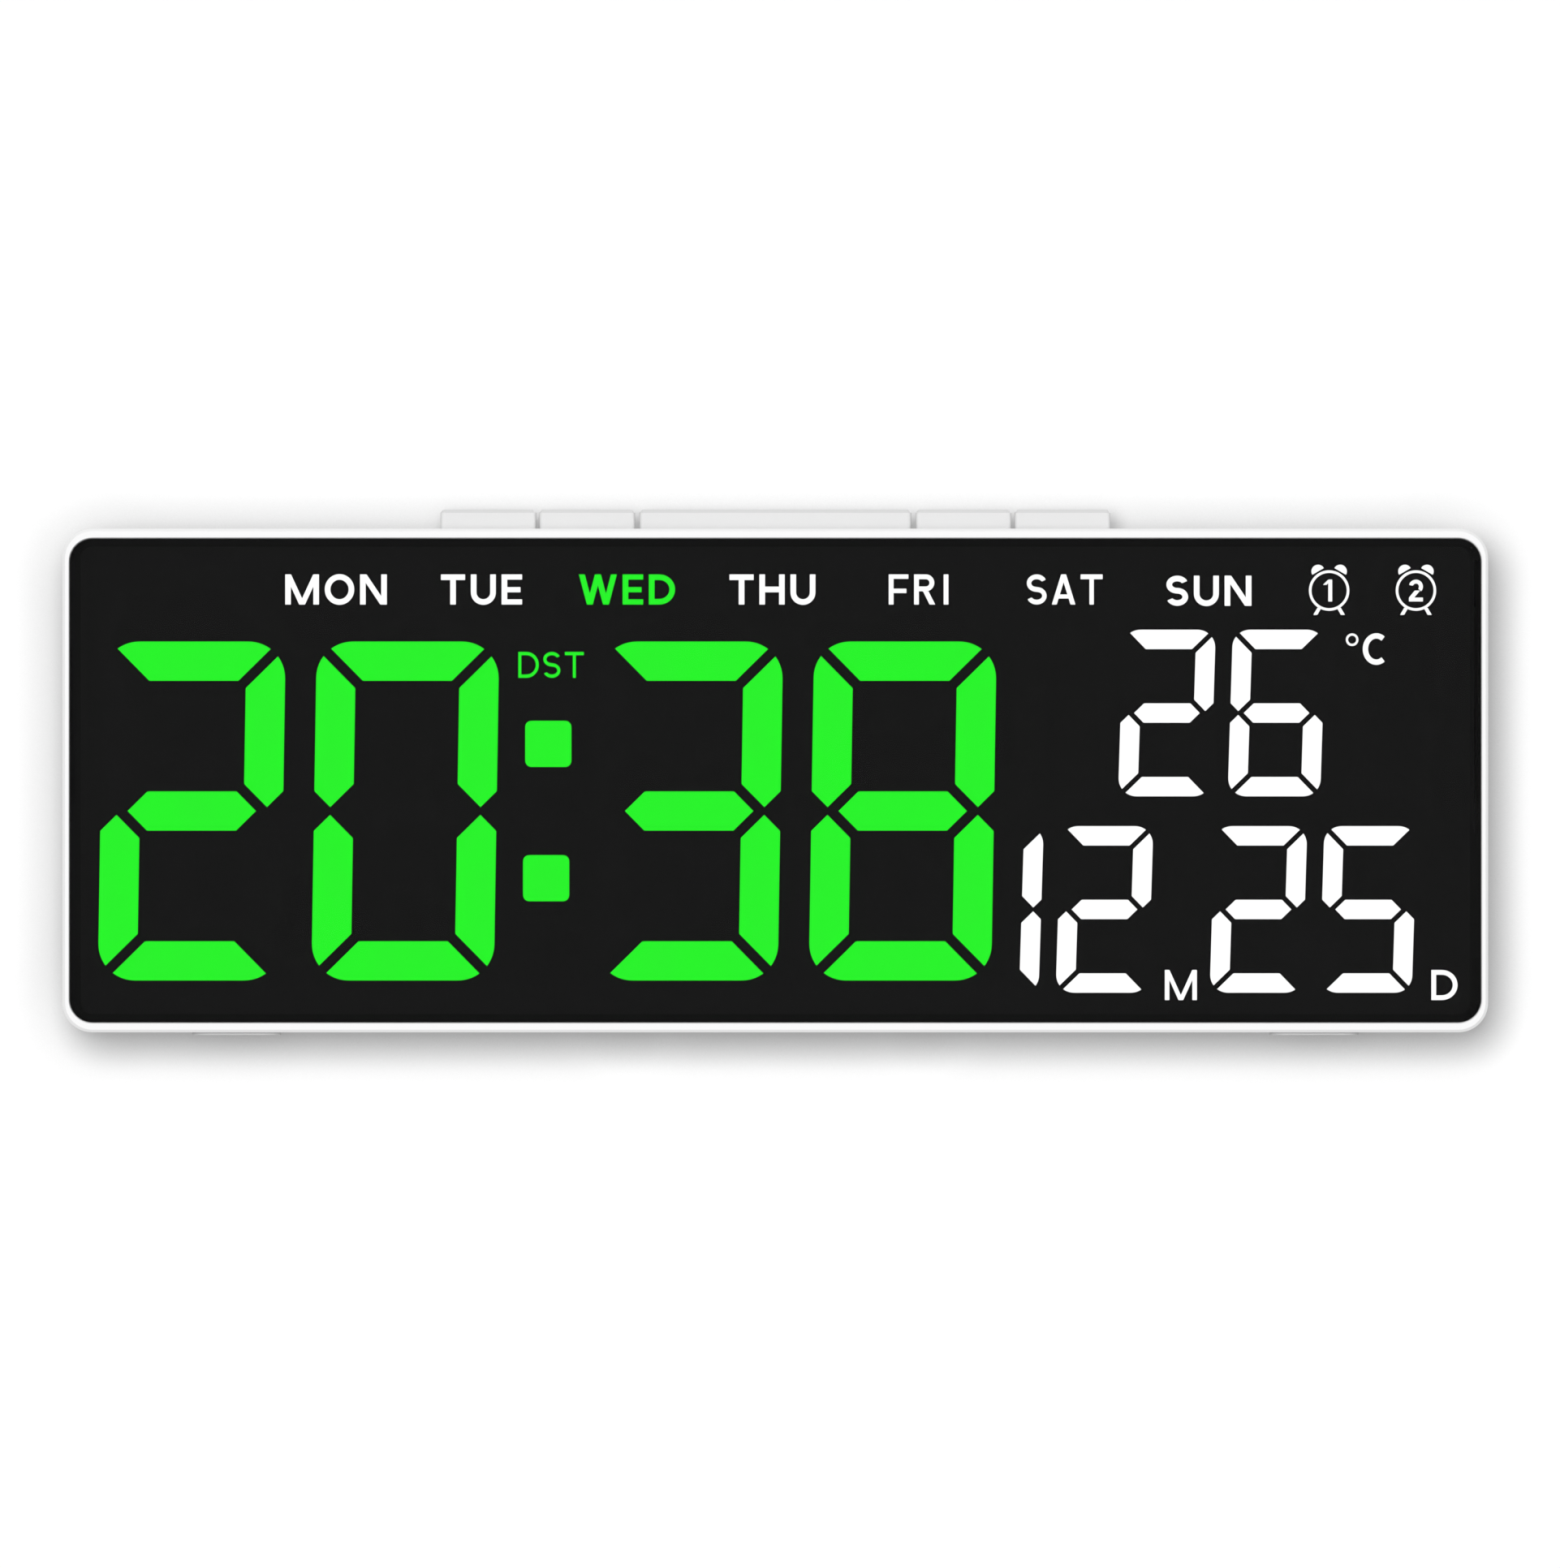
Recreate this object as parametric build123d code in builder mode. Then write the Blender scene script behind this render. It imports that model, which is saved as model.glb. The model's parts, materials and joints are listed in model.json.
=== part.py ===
from build123d import *
import os
from math import hypot, sqrt

os.makedirs("parts", exist_ok=True)

# A digital alarm clock: a shallow white case, a smoked lens over a display of light wells,
# five push buttons along the top, and a battery door and a fold-out stand leg behind.
# Sizes are in millimetres. X is to the right seen from the front, the face looks along -Y
# and Z is up. The origin is on the table, under the middle of the case.

# Case
case_width = 225.0
case_height = 79.5
case_depth = 28.0
case_corner = 4.7
wall = 2.2
foot_proud = 0.4
frame_depth = 12.0
shell_step = 0.3
back_edge = 3.0
rim_edge = 0.4
merge = 0.6

# Face that the display below is laid out for; the layout stretches with the case
laid_out_width = 225.0
laid_out_height = 79.5

# Lens and its tape
rim_side = 0.95
rim_top = 1.4
lens_corner = 3.7
lens_thickness = 1.5
lens_recess = 0.15
lens_gap = 0.1
lens_edge = 0.2
tape_thickness = 0.15
tape_margin = 0.1
tape_cover = 0.4

# Display module
lens_air = 0.2
module_gap = 0.25
reflector_depth = 6.0
reflector_face = 2.0
well_wall = 1.0
well_taper = 5.0
cap_thickness = 1.0
cap_gap = 0.05
cap_ledge = 0.4
well_cut = 0.7
block_cut = 0.58
board_thickness = 1.6

# Time digits
shown_time = "2038"
hour_x = -75.25
minute_x = 3.25
time_z = -4.82
time_pitch = 33.7
time_width = 28.8
time_height = 53.5
time_stroke = 6.2
time_gap = 1.64
time_tip_gap = 1.2
time_corner = 5.76
time_lean = 0.016
colon_x = -36.0
colon_rise = 10.6
colon_size = 7.3
colon_corner = 1.0

# Temperature and date digits
shown_temperature = "26"
shown_month = "12"
shown_day = "25"
temperature_x = 70.45
temperature_z = 10.65
month_x = 43.3
day_x = 84.9
date_z = -20.35
small_pitch = 17.3
small_width = 14.6
small_height = 26.3
small_stroke = 3.07
small_gap = 0.82
small_tip_gap = 0.6
small_corner = 2.8
small_lean = 0.031

# Indicator tiles: weekdays, alarms, summer time, degrees, month and day
weekday_pitch = 22.96
weekday_middle = -0.45
weekday_tile = (19.0, 7.2)
top_row_z = 30.15
alarm_spots = [(87.4, top_row_z), (101.1, top_row_z)]
alarm_tile = (9.0, 9.6)
summer_spot = (-35.4, 18.25)
summer_tile = (9.4, 6.0)
degree_spot = (93.3, 21.0)
degree_tile = (8.4, 7.2)
month_spot = (64.0, -32.15)
day_z = -32.15
letter_tile = (6.6, 6.4)
tile_margin = 0.15

# Lamps on the display board
big_lamp = (3.0, 1.5)
small_lamp = (1.6, 0.8)
lamp_height = 0.7
big_lamp_spacing = 7.0

# Screws: display, case and boards
display_screw_spots = [(-75.25, -28.0), (-75.25, 18.0), (3.25, -28.0), (3.25, 18.0),
                       (44.0, 10.0), (104.0, 8.0)]
display_post = 2.3
board_hole = 1.1
small_pilot = 0.75
small_head = 1.9
small_head_height = 1.2
small_bite = 4.0
case_screw_inset_x = 8.0
case_screw_inset_z = 8.25
case_boss = 3.0
case_boss_reach = 4.0
case_pilot = 0.95
case_pilot_depth = 6.0
case_hole = 1.25
case_counterbore = 2.4
case_post = 3.7
case_post_floor = 2.4
case_head = 2.2
case_head_height = 1.6
lug_reach = 5.0
screw_slack = 0.05
cross_slot = 0.5
cross_share = 0.65

# Lip that lines the shell up with the frame
lip_end_x = 22.5
lip_end_z = 17.75
lip_depth = 1.8
lip_thickness = 1.0
lip_gap = 0.2

# Push buttons
small_button = 15.1
wide_button = 42.9
button_depth = 8.0
button_proud = 3.0
wide_button_gap = 0.7
small_button_gap = 0.5
button_back = 6.5
slot_gap = 0.35
button_travel = 0.5
button_edge = 0.5
button_corner = 0.6
button_top = 1.5
button_wall = 1.1
skirt_inset = 0.9
skirt_length = 2.4
flange_reach = 1.0
flange_thickness = 1.2
flange_gap = 0.1
guide_thickness = 0.8
guide_drop = 3.0
post_radius = 1.6

# Key board and switches
key_board_drop = 7.2
key_board_depth = 12.0
key_board_margin = 8.0
key_screw_margin = 4.2
key_boss = 2.4
key_rib_x = 36.0
key_rib = 2.0
switch_size = 6.0
switch_body = 3.5
plunger_radius = 1.75
plunger_proud = 0.8
plunger_gap = 0.05
plunger_seat = 0.1
switch_foot = (1.3, 0.7, 0.2)
switch_foot_pitch = 4.5

# Battery compartment
tray_gap = 1.45
tray_z = -1.15
cell_radius = 5.25
cell_length = 44.5
cell_nub_radius = 1.9
cell_nub_length = 0.8
cell_pitch = 11.0
cell_count = 3
cell_gap = 0.5
cell_seat = 0.1
contact_space = 3.5
contact_plate = 0.4
contact_leaf = 0.3
tray_wall = 1.2
tray_pad = 2.6
rib_between = 0.8
rib_rise = 3.0

# Battery door
door_thickness = 1.6
door_gap = 0.3
door_overlap = 1.6
door_corner = 2.0
door_seat = 0.1
hook_spacing = 28.0
hook_width = 6.0
hook_catch = 1.6
hook_thickness = 1.1
hook_root = 2.6
hook_gap = 0.3
tongue_width = 13.0
tongue_length = 9.0
tongue_slot = 0.8
grip_groove = 1.0
grip_depth = 0.4
grip_pitch = 2.2
grip_count = 3

# Stand leg
leg_width = 52.0
leg_lift = 2.65
leg_thickness = 2.2
leg_pivot_z = 14.9
leg_barrel = 1.6
leg_pin = 1.0
leg_pin_length = 3.0
leg_pin_gap = 0.05
leg_side_gap = 0.4
leg_floor_gap = 0.3
leg_top_gap = 0.5
leg_corner = 5.0
leg_pocket_depth = 0.9
leg_rib = 1.6
leg_rim = 4.0
leg_grip = 17.0
leg_pockets = 3
recess_wall = 1.5
pad_strip = 1.0

# Wall keyholes
keyhole_spacing = 150.0
keyhole_inset = 13.9
keyhole_entry = 3.8
keyhole_slot = 2.0
keyhole_rise = 5.5

# Power board, socket and board headers
power_x = 70.0
power_board_size = (24.0, 13.0)
power_board_thickness = 1.0
power_board_lift = 8.4
power_screw_spacing = 17.0
power_screw_back = 6.5
power_boss = 2.2
socket_width = 8.94
socket_height = 3.26
socket_corner = 1.5
socket_length = 7.3
socket_wall = 0.35
socket_tongue = 6.7
socket_gap = 0.25
socket_inset = 0.6
pin_count = 7
pin_pitch = 2.54
pin_radius = 0.32
pin_over = 2.6
header_height = 2.5

# Buzzer, vents and temperature sensor
buzzer_spot = (62.0, 3.85)
buzzer_radius = 7.0
buzzer_height = 4.5
buzzer_gap = 0.1
buzzer_ring = 1.2
grille_slots = [(-4.8, 6.0), (-2.4, 10.0), (0.0, 11.5), (2.4, 10.0), (4.8, 6.0)]
grille_slot = 1.2
vent_z = -13.0
vent_pitch = 2.4
vent_length = 11.0
vent_slot = 1.2
vent_count = 4
sensor_radius = 1.3
sensor_lead = 0.3
sensor_spacing = 1.6
sensor_reach = 12.0

# Parts on the back of the display board
controller_spot = (16.0, 4.0)
controller_size = 10.0
controller_height = 1.4
driver_spots = [(-14.0, -2.0), (44.0, -16.0)]
driver_size = (7.5, 18.0)
driver_height = 2.3
lead_size = (0.4, 1.0)
lead_height = 0.3
controller_leads = 8
driver_leads = 10
crystal_spot = (30.0, 4.0)
crystal_radius = 1.1
crystal_length = 6.5
can_spots = [(88.0, -5.0), (97.0, -5.0)]
can_radius = 3.15
can_height = 7.0
can_edge = 0.4

# Feet
foot_length = 14.0
foot_width = 5.0
foot_seat = 0.6
foot_gap = 0.1
foot_inset_x = 27.5
foot_inset_y = 6.0

# Levels that follow from the sizes
front_y = -case_depth / 2
back_y = case_depth / 2
parting_y = front_y + frame_depth
lens_front_y = front_y + lens_recess
lens_back_y = lens_front_y + lens_thickness
ledge_y = lens_back_y + tape_thickness
reflector_front_y = lens_back_y + lens_air
reflector_back_y = reflector_front_y + reflector_depth
board_back_y = reflector_back_y + board_thickness
shell_back_y = back_y - wall
base_z = foot_proud
mid_z = base_z + case_height / 2
top_z = base_z + case_height
shell_base_z = base_z + shell_step
shell_top_z = top_z - shell_step
floor_z = shell_base_z + wall
ceiling_z = shell_top_z - wall

# Outlines that follow from the sizes
pocket_width = case_width - 2 * rim_side
pocket_height = case_height - 2 * rim_top
lens_width = pocket_width - 2 * lens_gap
lens_height = pocket_height - 2 * lens_gap
cavity_width = case_width - 2 * wall
cavity_height = case_height - 2 * wall
cavity_corner = case_corner - wall
module_width = cavity_width - 2 * module_gap
module_height = cavity_height - 2 * module_gap
module_corner = cavity_corner - module_gap
shell_width = case_width - 2 * shell_step
shell_height = case_height - 2 * shell_step
shell_corner = case_corner - shell_step
case_screw_x = case_width / 2 - case_screw_inset_x
case_screw_z = case_height / 2 - case_screw_inset_z
boss_end_y = parting_y + case_boss_reach
lip_length_x = case_width - 2 * lip_end_x
lip_length_z = case_height - 2 * lip_end_z
keyhole_z = case_height / 2 - keyhole_inset

# Stretch of the display's layout
stretch_x = case_width / laid_out_width
stretch_z = case_height / laid_out_height


def upright(y):
    """Plane facing the viewer at depth y, its origin level with the middle of the case."""
    return Plane(origin=(0, y, mid_z), x_dir=(1, 0, 0), z_dir=(0, -1, 0))


def level(z):
    """Plane parallel to the table at height z."""
    return Plane.XY.offset(z)


def spread(spots):
    """Places on the laid-out face, moved to where they are on this case."""
    return [(stretch_x * x, stretch_z * z) for x, z in spots]


def screws(plane, spots, head, head_height, shank, shank_length, head_side):
    """Pan-head screws; head_side is 1 where the heads stand on the side the plane faces."""
    with BuildPart() as group:
        with BuildSketch(plane):
            with Locations(*spots):
                Circle(head)
        extrude(amount=head_side * head_height)
        with BuildSketch(plane):
            with Locations(*spots):
                Circle(shank)
        extrude(amount=-head_side * shank_length)
        with BuildSketch(plane.offset(head_side * head_height)):
            with Locations(*spots):
                Rectangle(2 * cross_share * head, cross_slot)
                Rectangle(cross_slot, 2 * cross_share * head)
        extrude(amount=-head_side * head_height / 2, mode=Mode.SUBTRACT)
    return group.part


# Digits

SEGMENTS = {"0": "abcdef", "1": "bc", "2": "abdeg", "3": "abcdg", "4": "bcfg", "5": "acdfg",
            "6": "acdefg", "7": "abc", "8": "abcdefg", "9": "abcdfg"}
ALL_SEGMENTS = "abcdefg"

time_form = dict(width=stretch_x * time_width, height=stretch_z * time_height,
                 stroke=time_stroke, gap=time_gap, tip_gap=time_tip_gap, corner=time_corner,
                 lean=time_lean)
small_form = dict(width=stretch_x * small_width, height=stretch_z * small_height,
                  stroke=small_stroke, gap=small_gap, tip_gap=small_tip_gap,
                  corner=small_corner, lean=small_lean)


def digit_pair(middle_x, z, pitch, characters, fitted=(ALL_SEGMENTS, ALL_SEGMENTS)):
    """Two digits side by side: place, character shown and the segments that are fitted."""
    left, right = spread([(middle_x - pitch / 2, z), (middle_x + pitch / 2, z)])
    return [(*left, characters[0], fitted[0]), (*right, characters[1], fitted[1])]


time_digits = (digit_pair(hour_x, time_z, time_pitch, shown_time[:2])
               + digit_pair(minute_x, time_z, time_pitch, shown_time[2:]))
small_digits = (digit_pair(temperature_x, temperature_z, small_pitch, shown_temperature)
                + digit_pair(month_x, date_z, small_pitch, shown_month, ("bc", ALL_SEGMENTS))
                + digit_pair(day_x, date_z, small_pitch, shown_day))
colon_spots = spread([(colon_x + time_lean * rise, time_z + rise)
                      for rise in (colon_rise, -colon_rise)])
display_screw_places = spread(display_screw_spots)


def leaned(points, lean):
    """The points of an upright figure, leaned to the right towards the top."""
    return [(x + lean * z, z) for x, z in points]


def flipped(points, across, up):
    """The points mirrored where across or up is -1."""
    return [(across * x, up * z) for x, z in points]


def digit_outline(form, grow=0.0, cut=0.0):
    """Leaned outline of a whole digit, grown all round; its corners are round, or cut flat."""
    side, top = form["width"] / 2 + grow, form["height"] / 2 + grow
    corner = form["corner"] + grow
    with BuildSketch() as outline:
        Polygon(*leaned([(-side, -top), (side, -top), (side, top), (-side, top)], form["lean"]))
        if cut:
            chamfer(outline.vertices(), cut * corner)
        else:
            fillet(outline.vertices(), corner)
    return outline.sketch


def segment_windows(form, grow=0.0, cut=0.0):
    """The seven windows of a digit, keyed a to g, each grown by a margin all round."""
    side, top, stroke = form["width"] / 2, form["height"] / 2, form["stroke"]
    slip = form["gap"] / sqrt(2)
    tip_z = form["tip_gap"] / 2
    tip = stroke / 2 - slip + tip_z
    bar = [(-side + slip, top), (side - slip, top), (side - stroke - slip, top - stroke),
           (-side + stroke + slip, top - stroke)]
    post = [(-side, top - slip), (-side + stroke, top - stroke - slip),
            (-side + stroke, stroke / 2 + slip), (-side + tip, tip_z), (-side, tip_z + tip)]
    point, shoulder = side - stroke / 2 - slip, side - stroke - slip
    middle = [(-point, 0), (-shoulder, stroke / 2), (shoulder, stroke / 2), (point, 0),
              (shoulder, -stroke / 2), (-shoulder, -stroke / 2)]
    figures = {"a": bar, "b": flipped(post, -1, 1), "c": flipped(post, -1, -1),
               "d": flipped(bar, 1, -1), "e": flipped(post, 1, -1), "f": post, "g": middle}
    outline = digit_outline(form, cut=cut)
    windows = {}
    for letter, figure in figures.items():
        with BuildSketch() as window:
            Polygon(*leaned(figure, form["lean"]))
            add(outline, mode=Mode.INTERSECT)
            if grow:
                offset(amount=grow, kind=Kind.INTERSECTION)
        windows[letter] = window.sketch
    return windows


def place_windows(windows, digits, states=(True, False)):
    """Adds each digit's windows, lit or unlit, to the sketch in hand."""
    for x, z, character, fitted in digits:
        for letter in fitted:
            if (letter in SEGMENTS[character]) in states:
                with Locations((x, z)):
                    add(windows[letter])


def place_counters(form, digits):
    """Adds the two closed spaces inside each digit, clear of the well walls."""
    across = form["width"] - 2 * (form["stroke"] + well_wall)
    low = form["stroke"] / 2 + well_wall
    high = form["height"] / 2 - form["stroke"] - well_wall
    for x, z, character, fitted in digits:
        for up in (1, -1):
            middle = up * (low + high) / 2
            with Locations((x + form["lean"] * middle, z + middle)):
                Rectangle(across, high - low)


def place_lamps(form, digits, lamp, count, spacing):
    """Adds the lamps behind each segment, in line with it."""
    side = (form["width"] - form["stroke"]) / 2
    top = (form["height"] - form["stroke"]) / 2
    middles = {"a": (0, top), "b": (side, top / 2), "c": (side, -top / 2), "d": (0, -top),
               "e": (-side, -top / 2), "f": (-side, top / 2), "g": (0, 0)}
    for x, z, character, fitted in digits:
        for letter in fitted:
            lying = letter in "adg"
            middle_x, middle_z = middles[letter]
            for number in range(count):
                shift = (number - (count - 1) / 2) * spacing
                lamp_x = middle_x + (shift if lying else 0)
                lamp_z = middle_z + (0 if lying else shift)
                with Locations((x + lamp_x + form["lean"] * lamp_z, z + lamp_z)):
                    Rectangle(*(lamp if lying else lamp[::-1]))


# Indicator tiles

weekday_spots = [(weekday_middle + weekday_pitch * number, top_row_z) for number in range(-3, 4)]
day_x_edge = module_width / 2 - well_wall - tile_margin
day_spot = (day_x_edge / stretch_x - letter_tile[0] / 2, day_z)
laid_out_tiles = ([(spot, weekday_tile) for spot in weekday_spots]
                  + [(spot, alarm_tile) for spot in alarm_spots]
                  + [(summer_spot, summer_tile), (degree_spot, degree_tile),
                     (month_spot, letter_tile), (day_spot, letter_tile)])
tiles = [tuple(spread([spot, size])) for spot, size in laid_out_tiles]


def place_tiles(grow=0.0):
    """Adds every indicator tile's outline, grown all round."""
    for spot, (across, up) in tiles:
        with Locations(spot):
            Rectangle(across + 2 * grow, up + 2 * grow)


def place_colon(grow=0.0, rounded=True):
    """Adds the two dots of the colon, grown all round."""
    size = colon_size + 2 * grow
    for spot in colon_spots:
        with Locations(spot):
            if rounded:
                RectangleRounded(size, size, colon_corner + grow)
            else:
                Rectangle(size, size)


# Front frame: rim, lens pocket, ledge, corner lugs and screw bosses

with BuildPart() as front_frame:
    with BuildSketch(upright(front_y)):
        RectangleRounded(case_width, case_height, case_corner)
    extrude(amount=-frame_depth)
    chamfer(front_frame.edges().group_by(Axis.Y)[0], rim_edge)
    with BuildSketch(upright(front_y)):
        RectangleRounded(pocket_width, pocket_height, lens_corner + lens_gap)
    extrude(amount=-(ledge_y - front_y), mode=Mode.SUBTRACT)
    with BuildSketch(upright(ledge_y)):
        RectangleRounded(cavity_width, cavity_height, cavity_corner)
    extrude(amount=-(parting_y - ledge_y), mode=Mode.SUBTRACT)
    # Lugs that the display board rests on, merged into the corners of the wall
    lug_width = cavity_width / 2 + merge - case_screw_x + lug_reach
    lug_height = cavity_height / 2 + merge - case_screw_z + lug_reach
    lug_x = case_screw_x - lug_reach + lug_width / 2
    lug_z = case_screw_z - lug_reach + lug_height / 2
    with BuildSketch(upright(board_back_y)):
        with GridLocations(2 * lug_x, 2 * lug_z, 2, 2):
            Rectangle(lug_width, lug_height)
    extrude(amount=-(parting_y - lip_gap - board_back_y))
    with BuildSketch(upright(board_back_y)):
        with GridLocations(2 * case_screw_x, 2 * case_screw_z, 2, 2):
            Circle(case_boss)
    extrude(amount=-(boss_end_y - board_back_y))
    with BuildSketch(upright(boss_end_y)):
        with GridLocations(2 * case_screw_x, 2 * case_screw_z, 2, 2):
            Circle(case_pilot)
    extrude(amount=case_pilot_depth, mode=Mode.SUBTRACT)
    # Rebates for the shell's lip
    rebate = wall / 2 + lip_gap / 2
    with BuildSketch(upright(parting_y)):
        with GridLocations(0, cavity_height + rebate, 1, 2):
            Rectangle(lip_length_x + 2 * lip_gap, rebate)
        with GridLocations(cavity_width + rebate, 0, 2, 1):
            Rectangle(rebate, lip_length_z + 2 * lip_gap)
    extrude(amount=lip_depth + lip_gap, mode=Mode.SUBTRACT)
    # Pockets for the front feet
    with BuildSketch(level(base_z)):
        with Locations((0, front_y + foot_inset_y)):
            with GridLocations(case_width - 2 * foot_inset_x, 0, 2, 1):
                SlotOverall(foot_length + 2 * foot_gap, foot_width + 2 * foot_gap)
    extrude(amount=foot_seat, mode=Mode.SUBTRACT)
front_frame.part.label = "front_frame"
export_step(front_frame.part, "parts/front_frame.step")

# Lens and the tape that holds it on the ledge and hides the gap round the display

with BuildPart() as front_lens:
    with BuildSketch(upright(lens_front_y)):
        RectangleRounded(lens_width, lens_height, lens_corner)
    extrude(amount=-lens_thickness)
    chamfer(front_lens.edges().group_by(Axis.Y)[0], lens_edge)
front_lens.part.label = "front_lens"
export_step(front_lens.part, "parts/front_lens.step")

with BuildPart() as lens_tape:
    with BuildSketch(upright(lens_back_y)):
        RectangleRounded(lens_width - 2 * tape_margin, lens_height - 2 * tape_margin,
                         lens_corner - tape_margin)
        RectangleRounded(module_width - 2 * tape_cover, module_height - 2 * tape_cover,
                         module_corner - tape_cover, mode=Mode.SUBTRACT)
    extrude(amount=-tape_thickness)
lens_tape.part.label = "lens_tape"
export_step(lens_tape.part, "parts/lens_tape.step")

# Display reflector: a face plate with a walled light well behind every window

with BuildPart() as display_reflector:
    with BuildSketch(upright(reflector_front_y)):
        RectangleRounded(module_width, module_height, module_corner)
    extrude(amount=-reflector_face)
    with BuildSketch(upright(reflector_front_y)):
        RectangleRounded(module_width, module_height, module_corner)
        Rectangle(module_width - 2 * well_wall, module_height - 2 * well_wall,
                  mode=Mode.SUBTRACT)
        for form, digits in ((time_form, time_digits), (small_form, small_digits)):
            block = digit_outline(form, well_wall, block_cut)
            for x, z, character, fitted in digits:
                with Locations((x, z)):
                    add(block)
        place_colon(well_wall, rounded=False)
        place_tiles(well_wall)
        with Locations(*display_screw_places):
            Circle(display_post)
    extrude(amount=-reflector_depth)
    with BuildSketch(upright(reflector_front_y + reflector_face)):
        place_counters(time_form, time_digits)
        place_counters(small_form, small_digits)
    extrude(amount=-(reflector_depth - reflector_face), mode=Mode.SUBTRACT)
    # Seats that the diffusers and tiles drop into
    with BuildSketch(upright(reflector_front_y)):
        place_windows(segment_windows(time_form, cap_gap), time_digits)
        place_windows(segment_windows(small_form, cap_gap), small_digits)
        place_colon(cap_gap)
        place_tiles(cap_gap)
    extrude(amount=-cap_thickness, mode=Mode.SUBTRACT)
    # Wells that narrow from each window towards its lamps
    with BuildSketch(upright(reflector_front_y + cap_thickness)):
        place_windows(segment_windows(time_form, -cap_ledge, well_cut), time_digits)
        place_windows(segment_windows(small_form, -cap_ledge, well_cut), small_digits)
        place_colon(-cap_ledge, rounded=False)
        place_tiles(-cap_ledge)
    extrude(amount=-(reflector_depth - cap_thickness), taper=well_taper, mode=Mode.SUBTRACT)
    with BuildSketch(upright(reflector_back_y)):
        with Locations(*display_screw_places):
            Circle(small_pilot)
    extrude(amount=small_bite + screw_slack, mode=Mode.SUBTRACT)
display_reflector.part.label = "display_reflector"
export_step(display_reflector.part, "parts/display_reflector.step")

# Diffusers in the windows, lit and dark, and the indicator tiles

time_windows = segment_windows(time_form)
small_windows = segment_windows(small_form)

with BuildPart() as time_segments_lit:
    with BuildSketch(upright(reflector_front_y)):
        place_windows(time_windows, time_digits, (True,))
        place_colon()
    extrude(amount=-cap_thickness)
time_segments_lit.part.label = "time_segments_lit"
export_step(time_segments_lit.part, "parts/time_segments_lit.step")

with BuildPart() as time_segments_dark:
    with BuildSketch(upright(reflector_front_y)):
        place_windows(time_windows, time_digits, (False,))
    extrude(amount=-cap_thickness)
time_segments_dark.part.label = "time_segments_dark"
export_step(time_segments_dark.part, "parts/time_segments_dark.step")

with BuildPart() as calendar_segments_lit:
    with BuildSketch(upright(reflector_front_y)):
        place_windows(small_windows, small_digits, (True,))
    extrude(amount=-cap_thickness)
calendar_segments_lit.part.label = "calendar_segments_lit"
export_step(calendar_segments_lit.part, "parts/calendar_segments_lit.step")

with BuildPart() as calendar_segments_dark:
    with BuildSketch(upright(reflector_front_y)):
        place_windows(small_windows, small_digits, (False,))
    extrude(amount=-cap_thickness)
calendar_segments_dark.part.label = "calendar_segments_dark"
export_step(calendar_segments_dark.part, "parts/calendar_segments_dark.step")

with BuildPart() as indicator_tiles:
    with BuildSketch(upright(reflector_front_y)):
        place_tiles()
    extrude(amount=-cap_thickness)
indicator_tiles.part.label = "indicator_tiles"
export_step(indicator_tiles.part, "parts/indicator_tiles.step")

# Display board with its lamps, chips and screws

with BuildPart() as display_board:
    with BuildSketch(upright(reflector_back_y)):
        RectangleRounded(module_width, module_height, module_corner)
        with Locations(*display_screw_places):
            Circle(board_hole, mode=Mode.SUBTRACT)
    extrude(amount=-board_thickness)
display_board.part.label = "display_board"
export_step(display_board.part, "parts/display_board.step")

with BuildPart() as time_lamps:
    with BuildSketch(upright(reflector_back_y)):
        place_lamps(time_form, time_digits, big_lamp, 2, big_lamp_spacing)
        with Locations(*colon_spots):
            Rectangle(*big_lamp)
    extrude(amount=lamp_height)
time_lamps.part.label = "time_lamps"
export_step(time_lamps.part, "parts/time_lamps.step")

with BuildPart() as calendar_lamps:
    with BuildSketch(upright(reflector_back_y)):
        place_lamps(small_form, small_digits, small_lamp, 1, 0)
    extrude(amount=lamp_height)
calendar_lamps.part.label = "calendar_lamps"
export_step(calendar_lamps.part, "parts/calendar_lamps.step")

with BuildPart() as indicator_lamps:
    with BuildSketch(upright(reflector_back_y)):
        for spot, size in tiles:
            with Locations(spot):
                Rectangle(*big_lamp)
    extrude(amount=lamp_height)
indicator_lamps.part.label = "indicator_lamps"
export_step(indicator_lamps.part, "parts/indicator_lamps.step")

display_screws = screws(upright(board_back_y), display_screw_places, small_head,
                        small_head_height, small_pilot - screw_slack,
                        board_thickness + small_bite, -1)
display_screws.label = "display_screws"
export_step(display_screws, "parts/display_screws.step")

with BuildPart() as controller_chip:
    with BuildSketch(upright(board_back_y)):
        with Locations(*spread([controller_spot])):
            Rectangle(controller_size, controller_size)
    extrude(amount=-controller_height)
    chamfer(controller_chip.edges().group_by(Axis.Y)[-1], lead_height)
    with BuildSketch(upright(board_back_y)):
        with Locations(*spread([controller_spot])):
            for number in range(controller_leads):
                step = number - (controller_leads - 1) / 2
                along = step * controller_size / (controller_leads + 1)
                with GridLocations(controller_size + lead_size[1], 0, 2, 1):
                    with Locations((0, along)):
                        Rectangle(lead_size[1], lead_size[0])
                with GridLocations(0, controller_size + lead_size[1], 1, 2):
                    with Locations((along, 0)):
                        Rectangle(*lead_size)
    extrude(amount=-lead_height)
controller_chip.part.label = "controller_chip"
export_step(controller_chip.part, "parts/controller_chip.step")

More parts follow.
